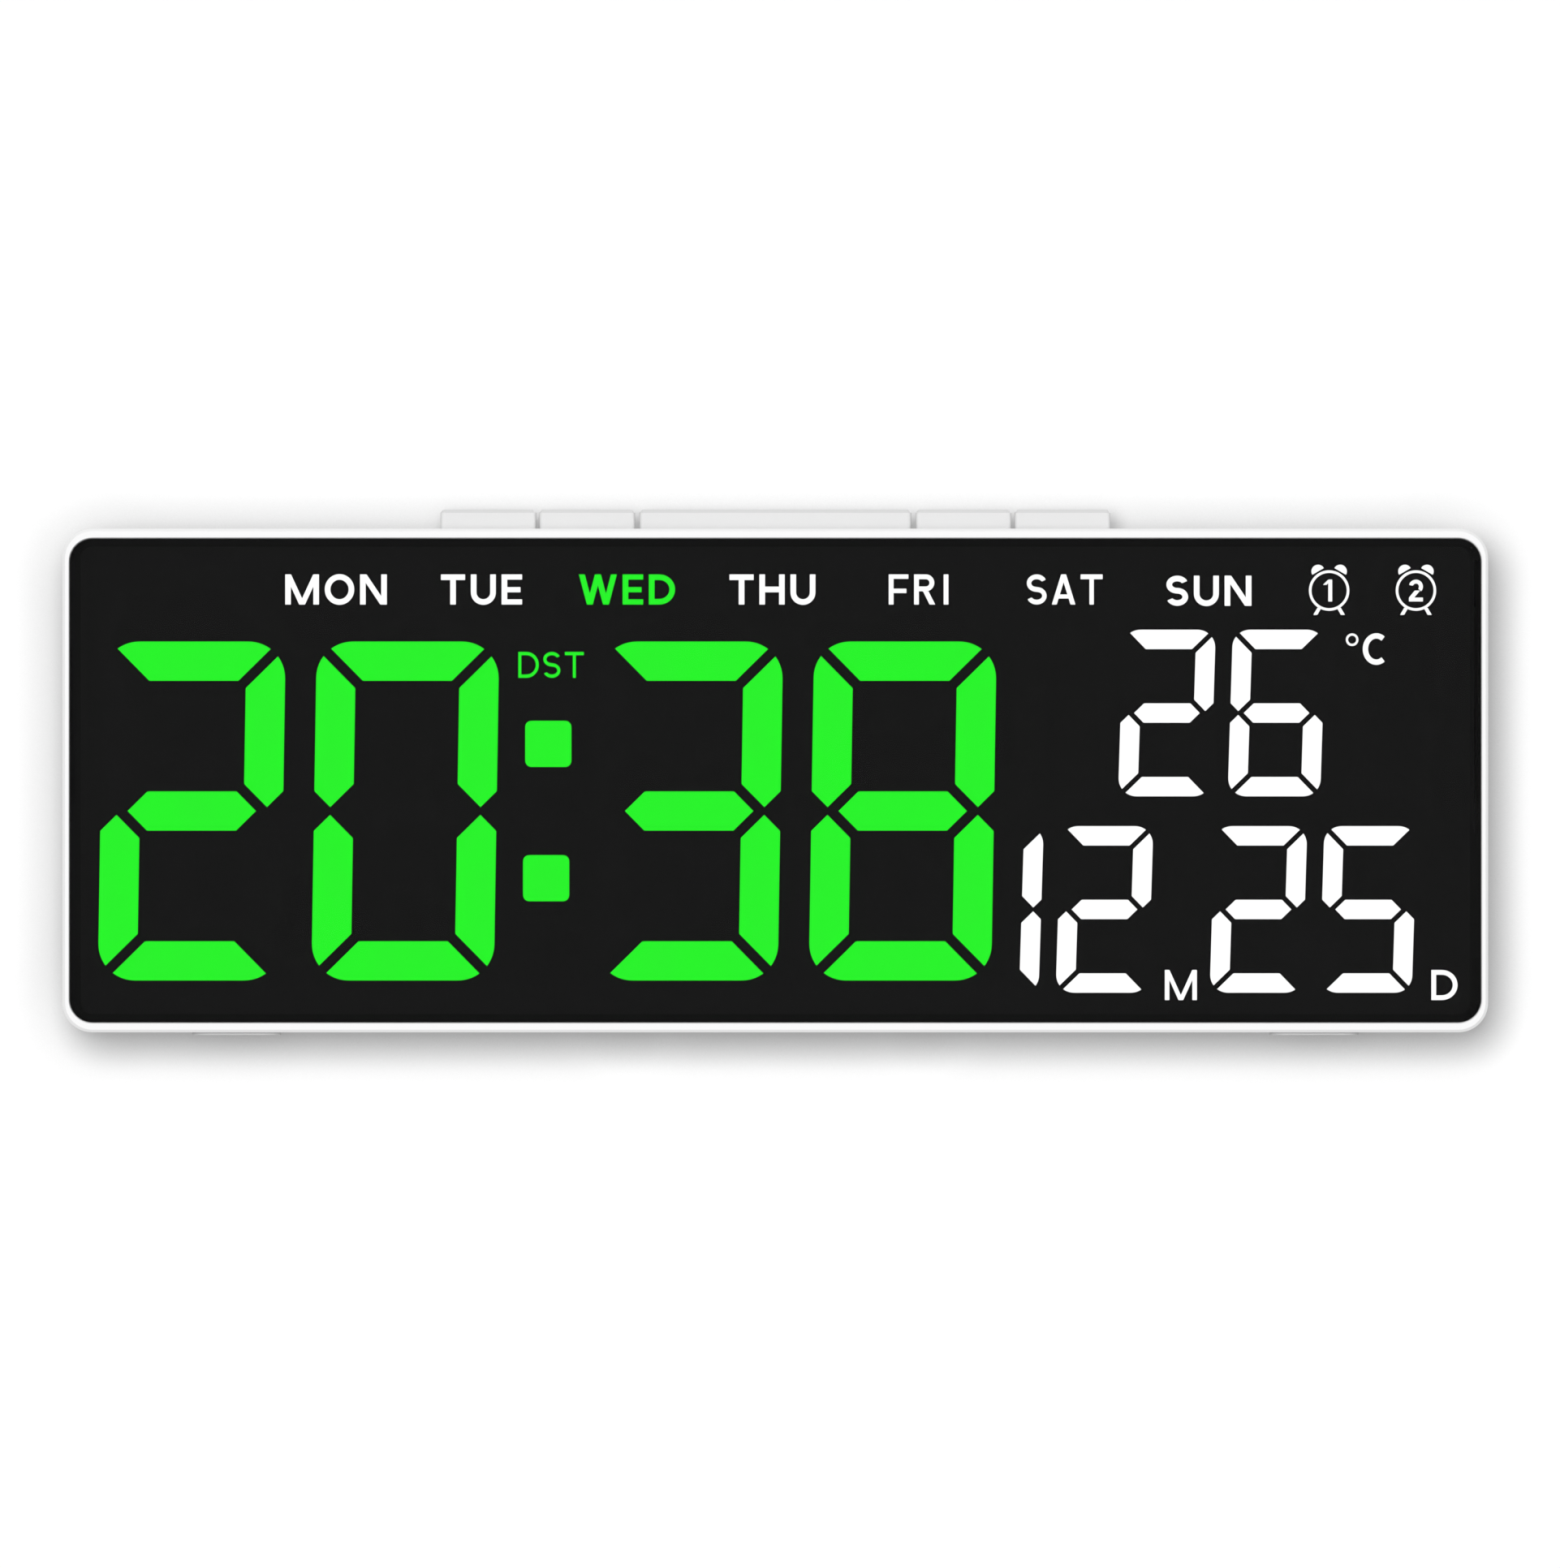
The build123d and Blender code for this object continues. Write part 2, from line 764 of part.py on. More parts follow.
with BuildPart() as driver_chips:
    with BuildSketch(upright(board_back_y)):
        with Locations(*spread(driver_spots)):
            Rectangle(*driver_size)
    extrude(amount=-driver_height)
    with BuildSketch(upright(board_back_y)):
        with Locations(*spread(driver_spots)):
            with GridLocations(driver_size[0] + lead_size[1], driver_size[1] / driver_leads,
                               2, driver_leads):
                Rectangle(lead_size[1], lead_size[0])
    extrude(amount=-lead_height)
driver_chips.part.label = "driver_chips"
export_step(driver_chips.part, "parts/driver_chips.step")

crystal_x, crystal_z = spread([crystal_spot])[0]

with BuildPart() as crystal:
    with BuildSketch(level(mid_z + crystal_z - crystal_length / 2)):
        with Locations((crystal_x, board_back_y + crystal_radius)):
            Circle(crystal_radius)
    extrude(amount=crystal_length)
crystal.part.label = "crystal"
export_step(crystal.part, "parts/crystal.step")

with BuildPart() as capacitors:
    with BuildSketch(upright(board_back_y)):
        with Locations(*spread(can_spots)):
            Circle(can_radius)
    extrude(amount=-can_height)
    chamfer(capacitors.edges().group_by(Axis.Y)[-1], can_edge)
capacitors.part.label = "capacitors"
export_step(capacitors.part, "parts/capacitors.step")

# Layout of the push buttons

inner_x = wide_button / 2 + wide_button_gap + small_button / 2
outer_x = inner_x + small_button + small_button_gap
buttons = {"mode": (-outer_x, small_button), "alarm": (-inner_x, small_button),
           "snooze": (0, wide_button), "down": (inner_x, small_button),
           "up": (outer_x, small_button)}
row_width = 2 * outer_x + small_button
button_y = parting_y + button_back
key_board_z = ceiling_z - key_board_drop
key_board_width = row_width + 2 * key_board_margin
key_screw_spots = [(side * (row_width / 2 + key_screw_margin), button_y) for side in (-1, 1)]
guide_length = button_depth + 4 * flange_reach
guide_x = [(wide_button + wide_button_gap) / 2, inner_x + (small_button + small_button_gap) / 2]

# Battery compartment levels
cell_y = back_y - door_thickness - door_seat - cell_gap - cell_radius
tray_length = cell_length + 2 * contact_space
tray_height = (cell_count - 1) * cell_pitch + 2 * (cell_radius + cell_gap)
tray_floor_y = cell_y - cell_radius - cell_seat
door_width = tray_length + 2 * door_overlap
door_height = tray_height + 2 * door_overlap
door_back_y = back_y - door_thickness
stand_reach = leg_width / 2 + leg_side_gap + leg_pin_length + recess_wall
tray_x = -(stand_reach + tray_gap + door_gap + door_width / 2)
vent_x = (tray_x - door_width / 2 - tray_pad - cavity_width / 2) / 2
door_low_z = tray_z - door_height / 2
cell_rows = [(number - (cell_count - 1) / 2) * cell_pitch for number in range(cell_count)]

# Stand recess levels
leg_axis_y = back_y - leg_barrel
recess_y = leg_axis_y - leg_barrel - leg_floor_gap
recess_width = leg_width + 2 * leg_side_gap
recess_top_z = leg_pivot_z + leg_barrel + leg_top_gap
leg_drop = leg_pivot_z + case_height / 2 - leg_lift
leg_low_z = leg_pivot_z - leg_drop

# Power board levels
power_board_z = floor_z + power_board_lift
power_screw_spots = [(power_x + side * power_screw_spacing / 2, parting_y + power_screw_back)
                     for side in (-1, 1)]
power_board_y = shell_back_y - socket_gap - power_board_size[1] / 2
socket_z = power_board_z + power_board_thickness + socket_height / 2

# Rear shell: hollow cover with posts, battery tray, stand recess and openings

with BuildPart() as rear_shell:
    with BuildSketch(upright(parting_y)):
        RectangleRounded(shell_width, shell_height, shell_corner)
    extrude(amount=-(back_y - parting_y))
    fillet(rear_shell.edges().group_by(Axis.Y)[-1], back_edge)
    offset(amount=-wall, openings=rear_shell.faces().sort_by(Axis.Y)[0])
    inside = wall / 2
    # Lip along the four straight sides
    with BuildSketch(upright(parting_y)):
        with GridLocations(0, cavity_height + lip_thickness - lip_gap, 1, 2):
            Rectangle(lip_length_x, lip_thickness)
        with GridLocations(cavity_width + lip_thickness - lip_gap, 0, 2, 1):
            Rectangle(lip_thickness, lip_length_z)
    extrude(amount=lip_depth)
    with BuildSketch(upright(parting_y)):
        with GridLocations(0, shell_height - wall, 1, 2):
            Rectangle(lip_length_x, inside)
        with GridLocations(shell_width - wall, 0, 2, 1):
            Rectangle(inside, lip_length_z)
    extrude(amount=-inside)
    # Screw posts
    with BuildSketch(upright(boss_end_y)):
        with GridLocations(2 * case_screw_x, 2 * case_screw_z, 2, 2):
            Circle(case_post)
    extrude(amount=-(back_y - inside - boss_end_y))
    # Battery tray with the thick seat round its mouth
    with BuildSketch(upright(tray_floor_y - tray_wall)):
        with Locations((tray_x, tray_z)):
            Rectangle(tray_length + 2 * tray_wall, tray_height + 2 * tray_wall)
    extrude(amount=-(back_y - inside - tray_floor_y + tray_wall))
    with BuildSketch(upright(shell_back_y - tray_wall)):
        with Locations((tray_x, tray_z)):
            Rectangle(door_width + 2 * tray_pad, door_height + 2 * tray_pad)
    extrude(amount=-(tray_wall + inside))
    # Thick floor of the stand recess, down to the bottom wall
    recess_block_low = floor_z - mid_z - merge
    recess_block_top = recess_top_z + leg_rib
    with BuildSketch(upright(recess_y - recess_wall)):
        with Locations((0, (recess_block_low + recess_block_top) / 2)):
            Rectangle(2 * stand_reach, recess_block_top - recess_block_low)
    extrude(amount=-(shell_back_y + merge - recess_y + recess_wall))
    # Bosses and ribs that carry the key board
    with BuildSketch(level(key_board_z)):
        with Locations(*key_screw_spots):
            Circle(key_boss)
    extrude(amount=key_board_drop + inside)
    for side in (-1, 1):
        with BuildSketch(Plane.YZ.offset(side * key_rib_x - key_rib / 2)):
            with BuildLine():
                Polyline((shell_back_y + inside, key_board_z - board_thickness),
                         (button_y - switch_size / 4, key_board_z - board_thickness),
                         (button_y - switch_size / 4, key_board_z - 2 * board_thickness),
                         (shell_back_y + inside, key_board_z - key_board_drop), close=True)
            make_face()
        extrude(amount=key_rib)
    # Bosses for the power board
    with BuildSketch(level(floor_z - inside)):
        with Locations(*power_screw_spots):
            Circle(power_boss)
    extrude(amount=power_board_lift + inside)
    # Ring that holds the buzzer
    with BuildSketch(upright(shell_back_y - buzzer_height)):
        with Locations(buzzer_spot):
            Circle(buzzer_radius + buzzer_gap + buzzer_ring)
            Circle(buzzer_radius + buzzer_gap, mode=Mode.SUBTRACT)
    extrude(amount=-(buzzer_height + inside))
    # Guides between the skirts of neighbouring buttons
    with BuildSketch(level(ceiling_z - guide_drop)):
        for side in (-1, 1):
            for x in guide_x:
                with Locations((side * x, button_y)):
                    Rectangle(guide_thickness, guide_length)
    extrude(amount=guide_drop + slot_gap)
    # Slot for the buttons
    with BuildSketch(level(ceiling_z + slot_gap)):
        with Locations((0, button_y)):
            RectangleRounded(row_width + 2 * slot_gap, button_depth + 2 * slot_gap,
                             button_corner + slot_gap)
    extrude(amount=2 * wall, mode=Mode.SUBTRACT)
    with BuildSketch(level(ceiling_z)):
        with Locations((0, button_y)):
            RectangleRounded(row_width + 2 * slot_gap, button_depth + 2 * slot_gap,
                             button_corner + slot_gap)
            for side in (-1, 1):
                for x in guide_x:
                    with Locations((side * x, 0)):
                        Rectangle(guide_thickness, guide_length, mode=Mode.SUBTRACT)
    extrude(amount=2 * slot_gap, mode=Mode.SUBTRACT)
    # Screw holes, counterbored from behind, and pilots for the small screws
    with BuildSketch(upright(back_y)):
        with GridLocations(2 * case_screw_x, 2 * case_screw_z, 2, 2):
            Circle(case_counterbore)
    extrude(amount=back_y - boss_end_y - case_post_floor, mode=Mode.SUBTRACT)
    with BuildSketch(upright(boss_end_y)):
        with GridLocations(2 * case_screw_x, 2 * case_screw_z, 2, 2):
            Circle(case_hole)
    extrude(amount=-2 * case_post_floor, mode=Mode.SUBTRACT)
    with BuildSketch(level(key_board_z)):
        with Locations(*key_screw_spots):
            Circle(small_pilot)
    extrude(amount=small_bite + screw_slack, mode=Mode.SUBTRACT)
    with BuildSketch(level(power_board_z)):
        with Locations(*power_screw_spots):
            Circle(small_pilot)
    extrude(amount=-(small_bite + screw_slack), mode=Mode.SUBTRACT)
    # Battery tray, door recess and the notches for the door's hooks
    with BuildSketch(upright(back_y)):
        with Locations((tray_x, tray_z)):
            Rectangle(tray_length, tray_height)
    extrude(amount=back_y - tray_floor_y, mode=Mode.SUBTRACT)
    with BuildSketch(upright(tray_floor_y)):
        for low, high in zip(cell_rows, cell_rows[1:]):
            with Locations((tray_x, tray_z + (low + high) / 2)):
                Rectangle(cell_length, rib_between)
    extrude(amount=-rib_rise)
    with BuildSketch(upright(back_y)):
        with Locations((tray_x, tray_z)):
            RectangleRounded(door_width + 2 * door_gap, door_height + 2 * door_gap,
                             door_corner + door_gap)
    extrude(amount=door_thickness + door_seat, mode=Mode.SUBTRACT)
    hook_swing = hypot(wall + hook_gap + hook_thickness, hook_catch)
    with BuildSketch(upright(back_y - door_thickness - door_seat)):
        with Locations((tray_x, door_low_z)):
            with GridLocations(hook_spacing, 0, 2, 1):
                Rectangle(hook_width + 2 * hook_gap, 2 * hook_root)
    extrude(amount=hook_swing, mode=Mode.SUBTRACT)
    # Stand recess with blind bores for the leg's pins
    with BuildSketch(upright(recess_y)):
        with Locations((0, recess_top_z)):
            Rectangle(recess_width, case_height, align=(Align.CENTER, Align.MAX))
    extrude(amount=-case_depth, mode=Mode.SUBTRACT)
    pin_span = recess_width + 2 * leg_pin_length
    with BuildSketch(Plane.YZ.offset(-pin_span / 2)):
        with Locations((leg_axis_y, mid_z + leg_pivot_z)):
            Circle(leg_pin + leg_pin_gap)
    extrude(amount=pin_span, mode=Mode.SUBTRACT)
    # Keyholes for two wall screws
    with BuildSketch(upright(back_y)):
        with GridLocations(keyhole_spacing, 0, 2, 1):
            with Locations((0, keyhole_z)):
                Circle(keyhole_entry)
            with Locations((0, keyhole_z + keyhole_rise / 2)):
                Rectangle(2 * keyhole_slot, keyhole_rise)
            with Locations((0, keyhole_z + keyhole_rise)):
                Circle(keyhole_slot)
    extrude(amount=2 * wall, mode=Mode.SUBTRACT)
    # Power inlet, buzzer grille and vents
    with BuildSketch(upright(back_y)):
        with Locations((power_x, socket_z - mid_z)):
            RectangleRounded(socket_width + 2 * socket_gap, socket_height + 2 * socket_gap,
                             socket_corner + socket_gap)
        for across, length in grille_slots:
            with Locations((buzzer_spot[0] + across, buzzer_spot[1])):
                SlotOverall(length, grille_slot, rotation=90)
        for number in range(vent_count):
            with Locations((vent_x + (number - (vent_count - 1) / 2) * vent_pitch, vent_z)):
                SlotOverall(vent_length, vent_slot, rotation=90)
    extrude(amount=wall + inside, mode=Mode.SUBTRACT)
    # Pockets for the rear feet
    with BuildSketch(level(shell_base_z)):
        with Locations((0, back_y - foot_inset_y)):
            with GridLocations(case_width - 2 * foot_inset_x, 0, 2, 1):
                SlotOverall(foot_length + 2 * foot_gap, foot_width + 2 * foot_gap)
    extrude(amount=foot_seat, mode=Mode.SUBTRACT)
rear_shell.part.label = "rear_shell"
export_step(rear_shell.part, "parts/rear_shell.step")

case_screw_spots = [(x, z) for x in (-case_screw_x, case_screw_x)
                    for z in (-case_screw_z, case_screw_z)]
case_screws = screws(upright(boss_end_y + case_post_floor), case_screw_spots, case_head,
                     case_head_height, case_pilot - screw_slack,
                     case_post_floor + case_pilot_depth - screw_slack, -1)
case_screws.label = "case_screws"
export_step(case_screws, "parts/case_screws.step")

# Push button caps: full width above the guides, narrower skirt below, flange under the wall


def button_cap(x, across):
    """One hollow cap with its flange and the post that presses the switch."""
    cap_top = top_z + button_proud
    skirt_low = ceiling_z - skirt_length
    shoulder = ceiling_z + 2 * slot_gap + button_travel
    skirt = across - 2 * skirt_inset
    with BuildPart() as cap:
        with BuildSketch(level(shoulder)):
            with Locations((x, button_y)):
                RectangleRounded(across, button_depth, button_corner)
        extrude(amount=cap_top - shoulder)
        chamfer(cap.edges().group_by(Axis.Z)[-1], button_edge)
        with BuildSketch(level(skirt_low)):
            with Locations((x, button_y)):
                Rectangle(skirt, button_depth)
        extrude(amount=shoulder - skirt_low)
        with BuildSketch(level(ceiling_z - flange_gap - flange_thickness)):
            with Locations((x, button_y)):
                Rectangle(skirt, button_depth + 2 * flange_reach)
        extrude(amount=flange_thickness)
        with BuildSketch(level(skirt_low)):
            with Locations((x, button_y)):
                Rectangle(skirt - 2 * button_wall, button_depth - 2 * button_wall)
        extrude(amount=cap_top - button_top - skirt_low, mode=Mode.SUBTRACT)
        with BuildSketch(level(key_board_z + switch_body + plunger_proud)):
            with Locations((x, button_y)):
                Circle(post_radius)
        extrude(amount=cap_top - button_top / 2 - key_board_z - switch_body - plunger_proud)
        with BuildSketch(level(shoulder)):
            with Locations((x, button_y)):
                Rectangle(skirt - button_wall, guide_thickness)
        extrude(amount=cap_top - button_top / 2 - shoulder)
    return cap.part


def switch_plunger(x):
    """The plunger of one push switch, standing in its body's bore."""
    with BuildPart() as plunger:
        with BuildSketch(level(key_board_z + switch_body + plunger_proud)):
            with Locations((x, button_y)):
                Circle(plunger_radius)
        extrude(amount=-(plunger_proud + 2 * button_travel))
    return plunger.part


for button_name, (button_x, button_width) in buttons.items():
    cap = button_cap(button_x, button_width)
    cap.label = "button_" + button_name
    export_step(cap, f"parts/button_{button_name}.step")
    plunger = switch_plunger(button_x)
    plunger.label = "plunger_" + button_name
    export_step(plunger, f"parts/plunger_{button_name}.step")

# Key board with the push switches and its screws

with BuildPart() as key_board:
    with BuildSketch(level(key_board_z - board_thickness)):
        with Locations((0, button_y)):
            Rectangle(key_board_width, key_board_depth)
        with Locations(*key_screw_spots):
            Circle(board_hole, mode=Mode.SUBTRACT)
    extrude(amount=board_thickness)
key_board.part.label = "key_board"
export_step(key_board.part, "parts/key_board.step")

with BuildPart() as switch_bodies:
    for button_x, button_width in buttons.values():
        with BuildSketch(level(key_board_z)):
            with Locations((button_x, button_y)):
                Rectangle(switch_size, switch_size)
        extrude(amount=switch_body)
        with BuildSketch(level(key_board_z)):
            with Locations((button_x, button_y)):
                with GridLocations(switch_size + switch_foot[0], switch_foot_pitch, 2, 2):
                    Rectangle(switch_foot[0], switch_foot[1])
        extrude(amount=switch_foot[2])
        with BuildSketch(level(key_board_z + switch_body)):
            with Locations((button_x, button_y)):
                Circle(plunger_radius + plunger_gap)
        extrude(amount=-(3 * button_travel + plunger_seat), mode=Mode.SUBTRACT)
switch_bodies.part.label = "switch_bodies"
export_step(switch_bodies.part, "parts/switch_bodies.step")

key_board_screws = screws(level(key_board_z - board_thickness), key_screw_spots, small_head,
                          small_head_height, small_pilot - screw_slack,
                          board_thickness + small_bite, -1)
key_board_screws.label = "key_board_screws"
export_step(key_board_screws, "parts/key_board_screws.step")

# Power board, its socket and screws

with BuildPart() as power_board:
    with BuildSketch(level(power_board_z)):
        with Locations((power_x, power_board_y)):
            Rectangle(*power_board_size)
        with Locations(*power_screw_spots):
            Circle(board_hole, mode=Mode.SUBTRACT)
    extrude(amount=power_board_thickness)
power_board.part.label = "power_board"
export_step(power_board.part, "parts/power_board.step")

with BuildPart() as power_socket:
    socket_plane = upright(back_y - socket_inset)
    with BuildSketch(socket_plane):
        with Locations((power_x, socket_z - mid_z)):
            RectangleRounded(socket_width, socket_height, socket_corner)
    extrude(amount=socket_length)
    with BuildSketch(socket_plane):
        with Locations((power_x, socket_z - mid_z)):
            RectangleRounded(socket_width - 2 * socket_wall, socket_height - 2 * socket_wall,
                             socket_corner - socket_wall)
            Rectangle(socket_tongue, 2 * socket_wall, mode=Mode.SUBTRACT)
    extrude(amount=socket_length - 2 * socket_wall, mode=Mode.SUBTRACT)
power_socket.part.label = "power_socket"
export_step(power_socket.part, "parts/power_socket.step")

power_board_screws = screws(level(power_board_z + power_board_thickness), power_screw_spots,
                            small_head, small_head_height, small_pilot - screw_slack,
                            power_board_thickness + small_bite, 1)
power_board_screws.label = "power_board_screws"
export_step(power_board_screws, "parts/power_board_screws.step")

# Pin headers that join the key board and the power board to the display board


def pin_header(x, z):
    """A row of straight pins from the display board, lying on top of the board at height z."""
    middle = (x, z - mid_z + pin_radius)
    with BuildPart() as header:
        with BuildSketch(upright(board_back_y)):
            with Locations(middle):
                Rectangle(pin_count * pin_pitch, header_height)
        extrude(amount=-header_height)
        with BuildSketch(upright(board_back_y)):
            with Locations(middle):
                with GridLocations(pin_pitch, 0, pin_count, 1):
                    Rectangle(2 * pin_radius, 2 * pin_radius)
        extrude(amount=-(button_y - key_board_depth / 2 - board_back_y + pin_over))
    return header.part


key_header = pin_header(0, key_board_z)
key_header.label = "key_header"
export_step(key_header, "parts/key_header.step")

power_header = pin_header(power_x, power_board_z + power_board_thickness)
power_header.label = "power_header"
export_step(power_header, "parts/power_header.step")

# Buzzer and temperature sensor

with BuildPart() as buzzer:
    with BuildSketch(upright(shell_back_y)):
        with Locations(buzzer_spot):
            Circle(buzzer_radius)
    extrude(amount=buzzer_height)
    chamfer(buzzer.edges().group_by(Axis.Y)[0], can_edge)
    with BuildSketch(upright(shell_back_y)):
        with Locations(buzzer_spot):
            Circle(grille_slot)
    extrude(amount=buzzer_height / 3, mode=Mode.SUBTRACT)
buzzer.part.label = "buzzer"
export_step(buzzer.part, "parts/buzzer.step")

with BuildPart() as temperature_sensor:
    with BuildSketch(upright(board_back_y)):
        with Locations((vent_x + vent_pitch, vent_z)):
            with GridLocations(sensor_spacing, 0, 2, 1):
                Circle(sensor_lead)
    extrude(amount=-sensor_reach)
    with BuildSketch(upright(board_back_y + sensor_reach - sensor_radius)):
        with Locations((vent_x + vent_pitch, vent_z)):
            SlotOverall(2 * sensor_radius + sensor_spacing, 2 * sensor_radius)
    extrude(amount=-2 * sensor_radius)
    chamfer(temperature_sensor.edges().group_by(Axis.Y)[-1], sensor_radius / 2)
temperature_sensor.part.label = "temperature_sensor"
export_step(temperature_sensor.part, "parts/temperature_sensor.step")

# Battery cells and their contacts

with BuildPart() as battery_cells:
    for number, row in enumerate(cell_rows):
        turn = 1 if number % 2 else -1
        can_length = cell_length - cell_nub_length
        with BuildSketch(Plane.YZ.offset(tray_x - turn * cell_length / 2)):
            with Locations((cell_y, mid_z + tray_z + row)):
                Circle(cell_radius)
        extrude(amount=turn * can_length)
        with BuildSketch(Plane.YZ.offset(tray_x + turn * (cell_length / 2 - cell_nub_length))):
            with Locations((cell_y, mid_z + tray_z + row)):
                Circle(cell_nub_radius)
        extrude(amount=turn * cell_nub_length)
    chamfer(battery_cells.edges().filter_by(lambda edge: edge.geom_type == GeomType.CIRCLE
                                            and edge.radius > cell_nub_radius), can_edge)
battery_cells.part.label = "battery_cells"
export_step(battery_cells.part, "parts/battery_cells.step")

leaf_reach = contact_space - contact_leaf
leaf_half = cell_radius - contact_space / 2
plate_half = cell_radius - cell_gap

with BuildPart() as battery_contacts:
    for side in (-1, 1):
        wall_x = tray_x + side * tray_length / 2
        for number, row in enumerate(cell_rows):
            row_z = mid_z + tray_z + row
            with BuildSketch(level(row_z - plate_half)):
                with Locations((wall_x - side * contact_plate / 2, cell_y)):
                    Rectangle(contact_plate, 2 * plate_half)
            extrude(amount=2 * plate_half)
            with BuildSketch(level(row_z - leaf_half)):
                with BuildLine():
                    ThreePointArc((wall_x - side * contact_plate / 2, cell_y - leaf_half),
                                  (wall_x - side * leaf_reach, cell_y),
                                  (wall_x - side * contact_plate / 2, cell_y + leaf_half))
                trace(line_width=contact_leaf)
            extrude(amount=2 * leaf_half)
        linked = cell_rows[:2] if side < 0 else cell_rows[-2:]
        with BuildSketch(level(mid_z + tray_z + linked[0])):
            with Locations((wall_x - side * contact_plate / 2, cell_y)):
                Rectangle(contact_plate, plate_half)
        extrude(amount=linked[1] - linked[0])
battery_contacts.part.label = "battery_contacts"
export_step(battery_contacts.part, "parts/battery_contacts.step")

# Battery door: plate with two hooks, a springy tongue and grip grooves

with BuildPart() as battery_door:
    with BuildSketch(upright(door_back_y)):
        with Locations((tray_x, tray_z)):
            RectangleRounded(door_width, door_height, door_corner)
        with Locations((tray_x, tray_z + (door_height - tongue_length) / 2)):
            with GridLocations(tongue_width, 0, 2, 1):
                Rectangle(tongue_slot, tongue_length, mode=Mode.SUBTRACT)
    extrude(amount=-door_thickness)
    with BuildSketch(upright(back_y)):
        with Locations((tray_x, tray_z + door_height / 2 - tongue_length / 2)):
            with GridLocations(0, grip_pitch, 1, grip_count):
                Rectangle(tongue_width - 3 * tongue_slot, grip_groove)
    extrude(amount=grip_depth, mode=Mode.SUBTRACT)
    hook_front_y = shell_back_y - hook_gap - hook_thickness
    with BuildSketch(upright(hook_front_y)):
        with Locations((tray_x, door_low_z + door_overlap)):
            with GridLocations(hook_spacing, 0, 2, 1):
                Rectangle(hook_width, hook_thickness, align=(Align.CENTER, Align.MIN))
    extrude(amount=-(door_back_y - hook_front_y))
    with BuildSketch(upright(hook_front_y)):
        with Locations((tray_x, door_low_z - hook_catch)):
            with GridLocations(hook_spacing, 0, 2, 1):
                Rectangle(hook_width, hook_catch + door_overlap + hook_thickness,
                          align=(Align.CENTER, Align.MIN))
    extrude(amount=-hook_thickness)
battery_door.part.label = "battery_door"
export_step(battery_door.part, "parts/battery_door.step")

# Stand leg: ribbed plate with a barrel and two pins, and its rubber strip

with BuildPart() as stand_leg:
    with BuildSketch(upright(back_y - leg_thickness)):
        with Locations((0, leg_pivot_z)):
            Rectangle(leg_width, leg_drop, align=(Align.CENTER, Align.MAX))
    extrude(amount=-leg_thickness)
    fillet(stand_leg.edges().filter_by(Axis.Y).group_by(Axis.Z)[0], leg_corner)
    with BuildSketch(Plane.YZ.offset(-leg_width / 2)):
        with Locations((leg_axis_y, mid_z + leg_pivot_z)):
            Circle(leg_barrel)
    extrude(amount=leg_width)
    with BuildSketch(Plane.YZ.offset(-(pin_span / 2 - leg_side_gap))):
        with Locations((leg_axis_y, mid_z + leg_pivot_z)):
            Circle(leg_pin)
    extrude(amount=pin_span - 2 * leg_side_gap)
    # Pockets between the ribs on the hidden side
    pocket_across = (leg_width - 2 * leg_rim - (leg_pockets - 1) * leg_rib) / leg_pockets
    with BuildSketch(upright(back_y - leg_thickness)):
        with Locations((0, leg_pivot_z - leg_drop / 2)):
            with GridLocations(pocket_across + leg_rib, 0, leg_pockets, 1):
                RectangleRounded(pocket_across, leg_drop - 2 * leg_corner - leg_rim, leg_rib)
    extrude(amount=-leg_pocket_depth, mode=Mode.SUBTRACT)
    with BuildSketch(upright(back_y)):
        with Locations((0, leg_low_z + leg_corner)):
            with GridLocations(0, grip_pitch, 1, grip_count):
                Rectangle(leg_grip, grip_groove)
    extrude(amount=grip_depth, mode=Mode.SUBTRACT)
stand_leg.part.label = "stand_leg"
export_step(stand_leg.part, "parts/stand_leg.step")

with BuildPart() as stand_pad:
    with BuildSketch(level(mid_z + leg_low_z)):
        with Locations((0, back_y - leg_thickness / 2)):
            Rectangle(leg_width - 2 * leg_corner - leg_rib, leg_thickness - 2 * foot_gap)
    extrude(amount=-pad_strip)
stand_pad.part.label = "stand_pad"
export_step(stand_pad.part, "parts/stand_pad.step")

# Feet

with BuildPart() as front_feet:
    with BuildSketch(level(0)):
        with Locations((0, front_y + foot_inset_y)):
            with GridLocations(case_width - 2 * foot_inset_x, 0, 2, 1):
                SlotOverall(foot_length, foot_width)
    extrude(amount=base_z + foot_seat)
front_feet.part.label = "front_feet"
export_step(front_feet.part, "parts/front_feet.step")

with BuildPart() as rear_feet:
    with BuildSketch(level(0)):
        with Locations((0, back_y - foot_inset_y)):
            with GridLocations(case_width - 2 * foot_inset_x, 0, 2, 1):
                SlotOverall(foot_length, foot_width)
    extrude(amount=shell_base_z + foot_seat)
rear_feet.part.label = "rear_feet"
export_step(rear_feet.part, "parts/rear_feet.step")
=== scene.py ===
import json
import math

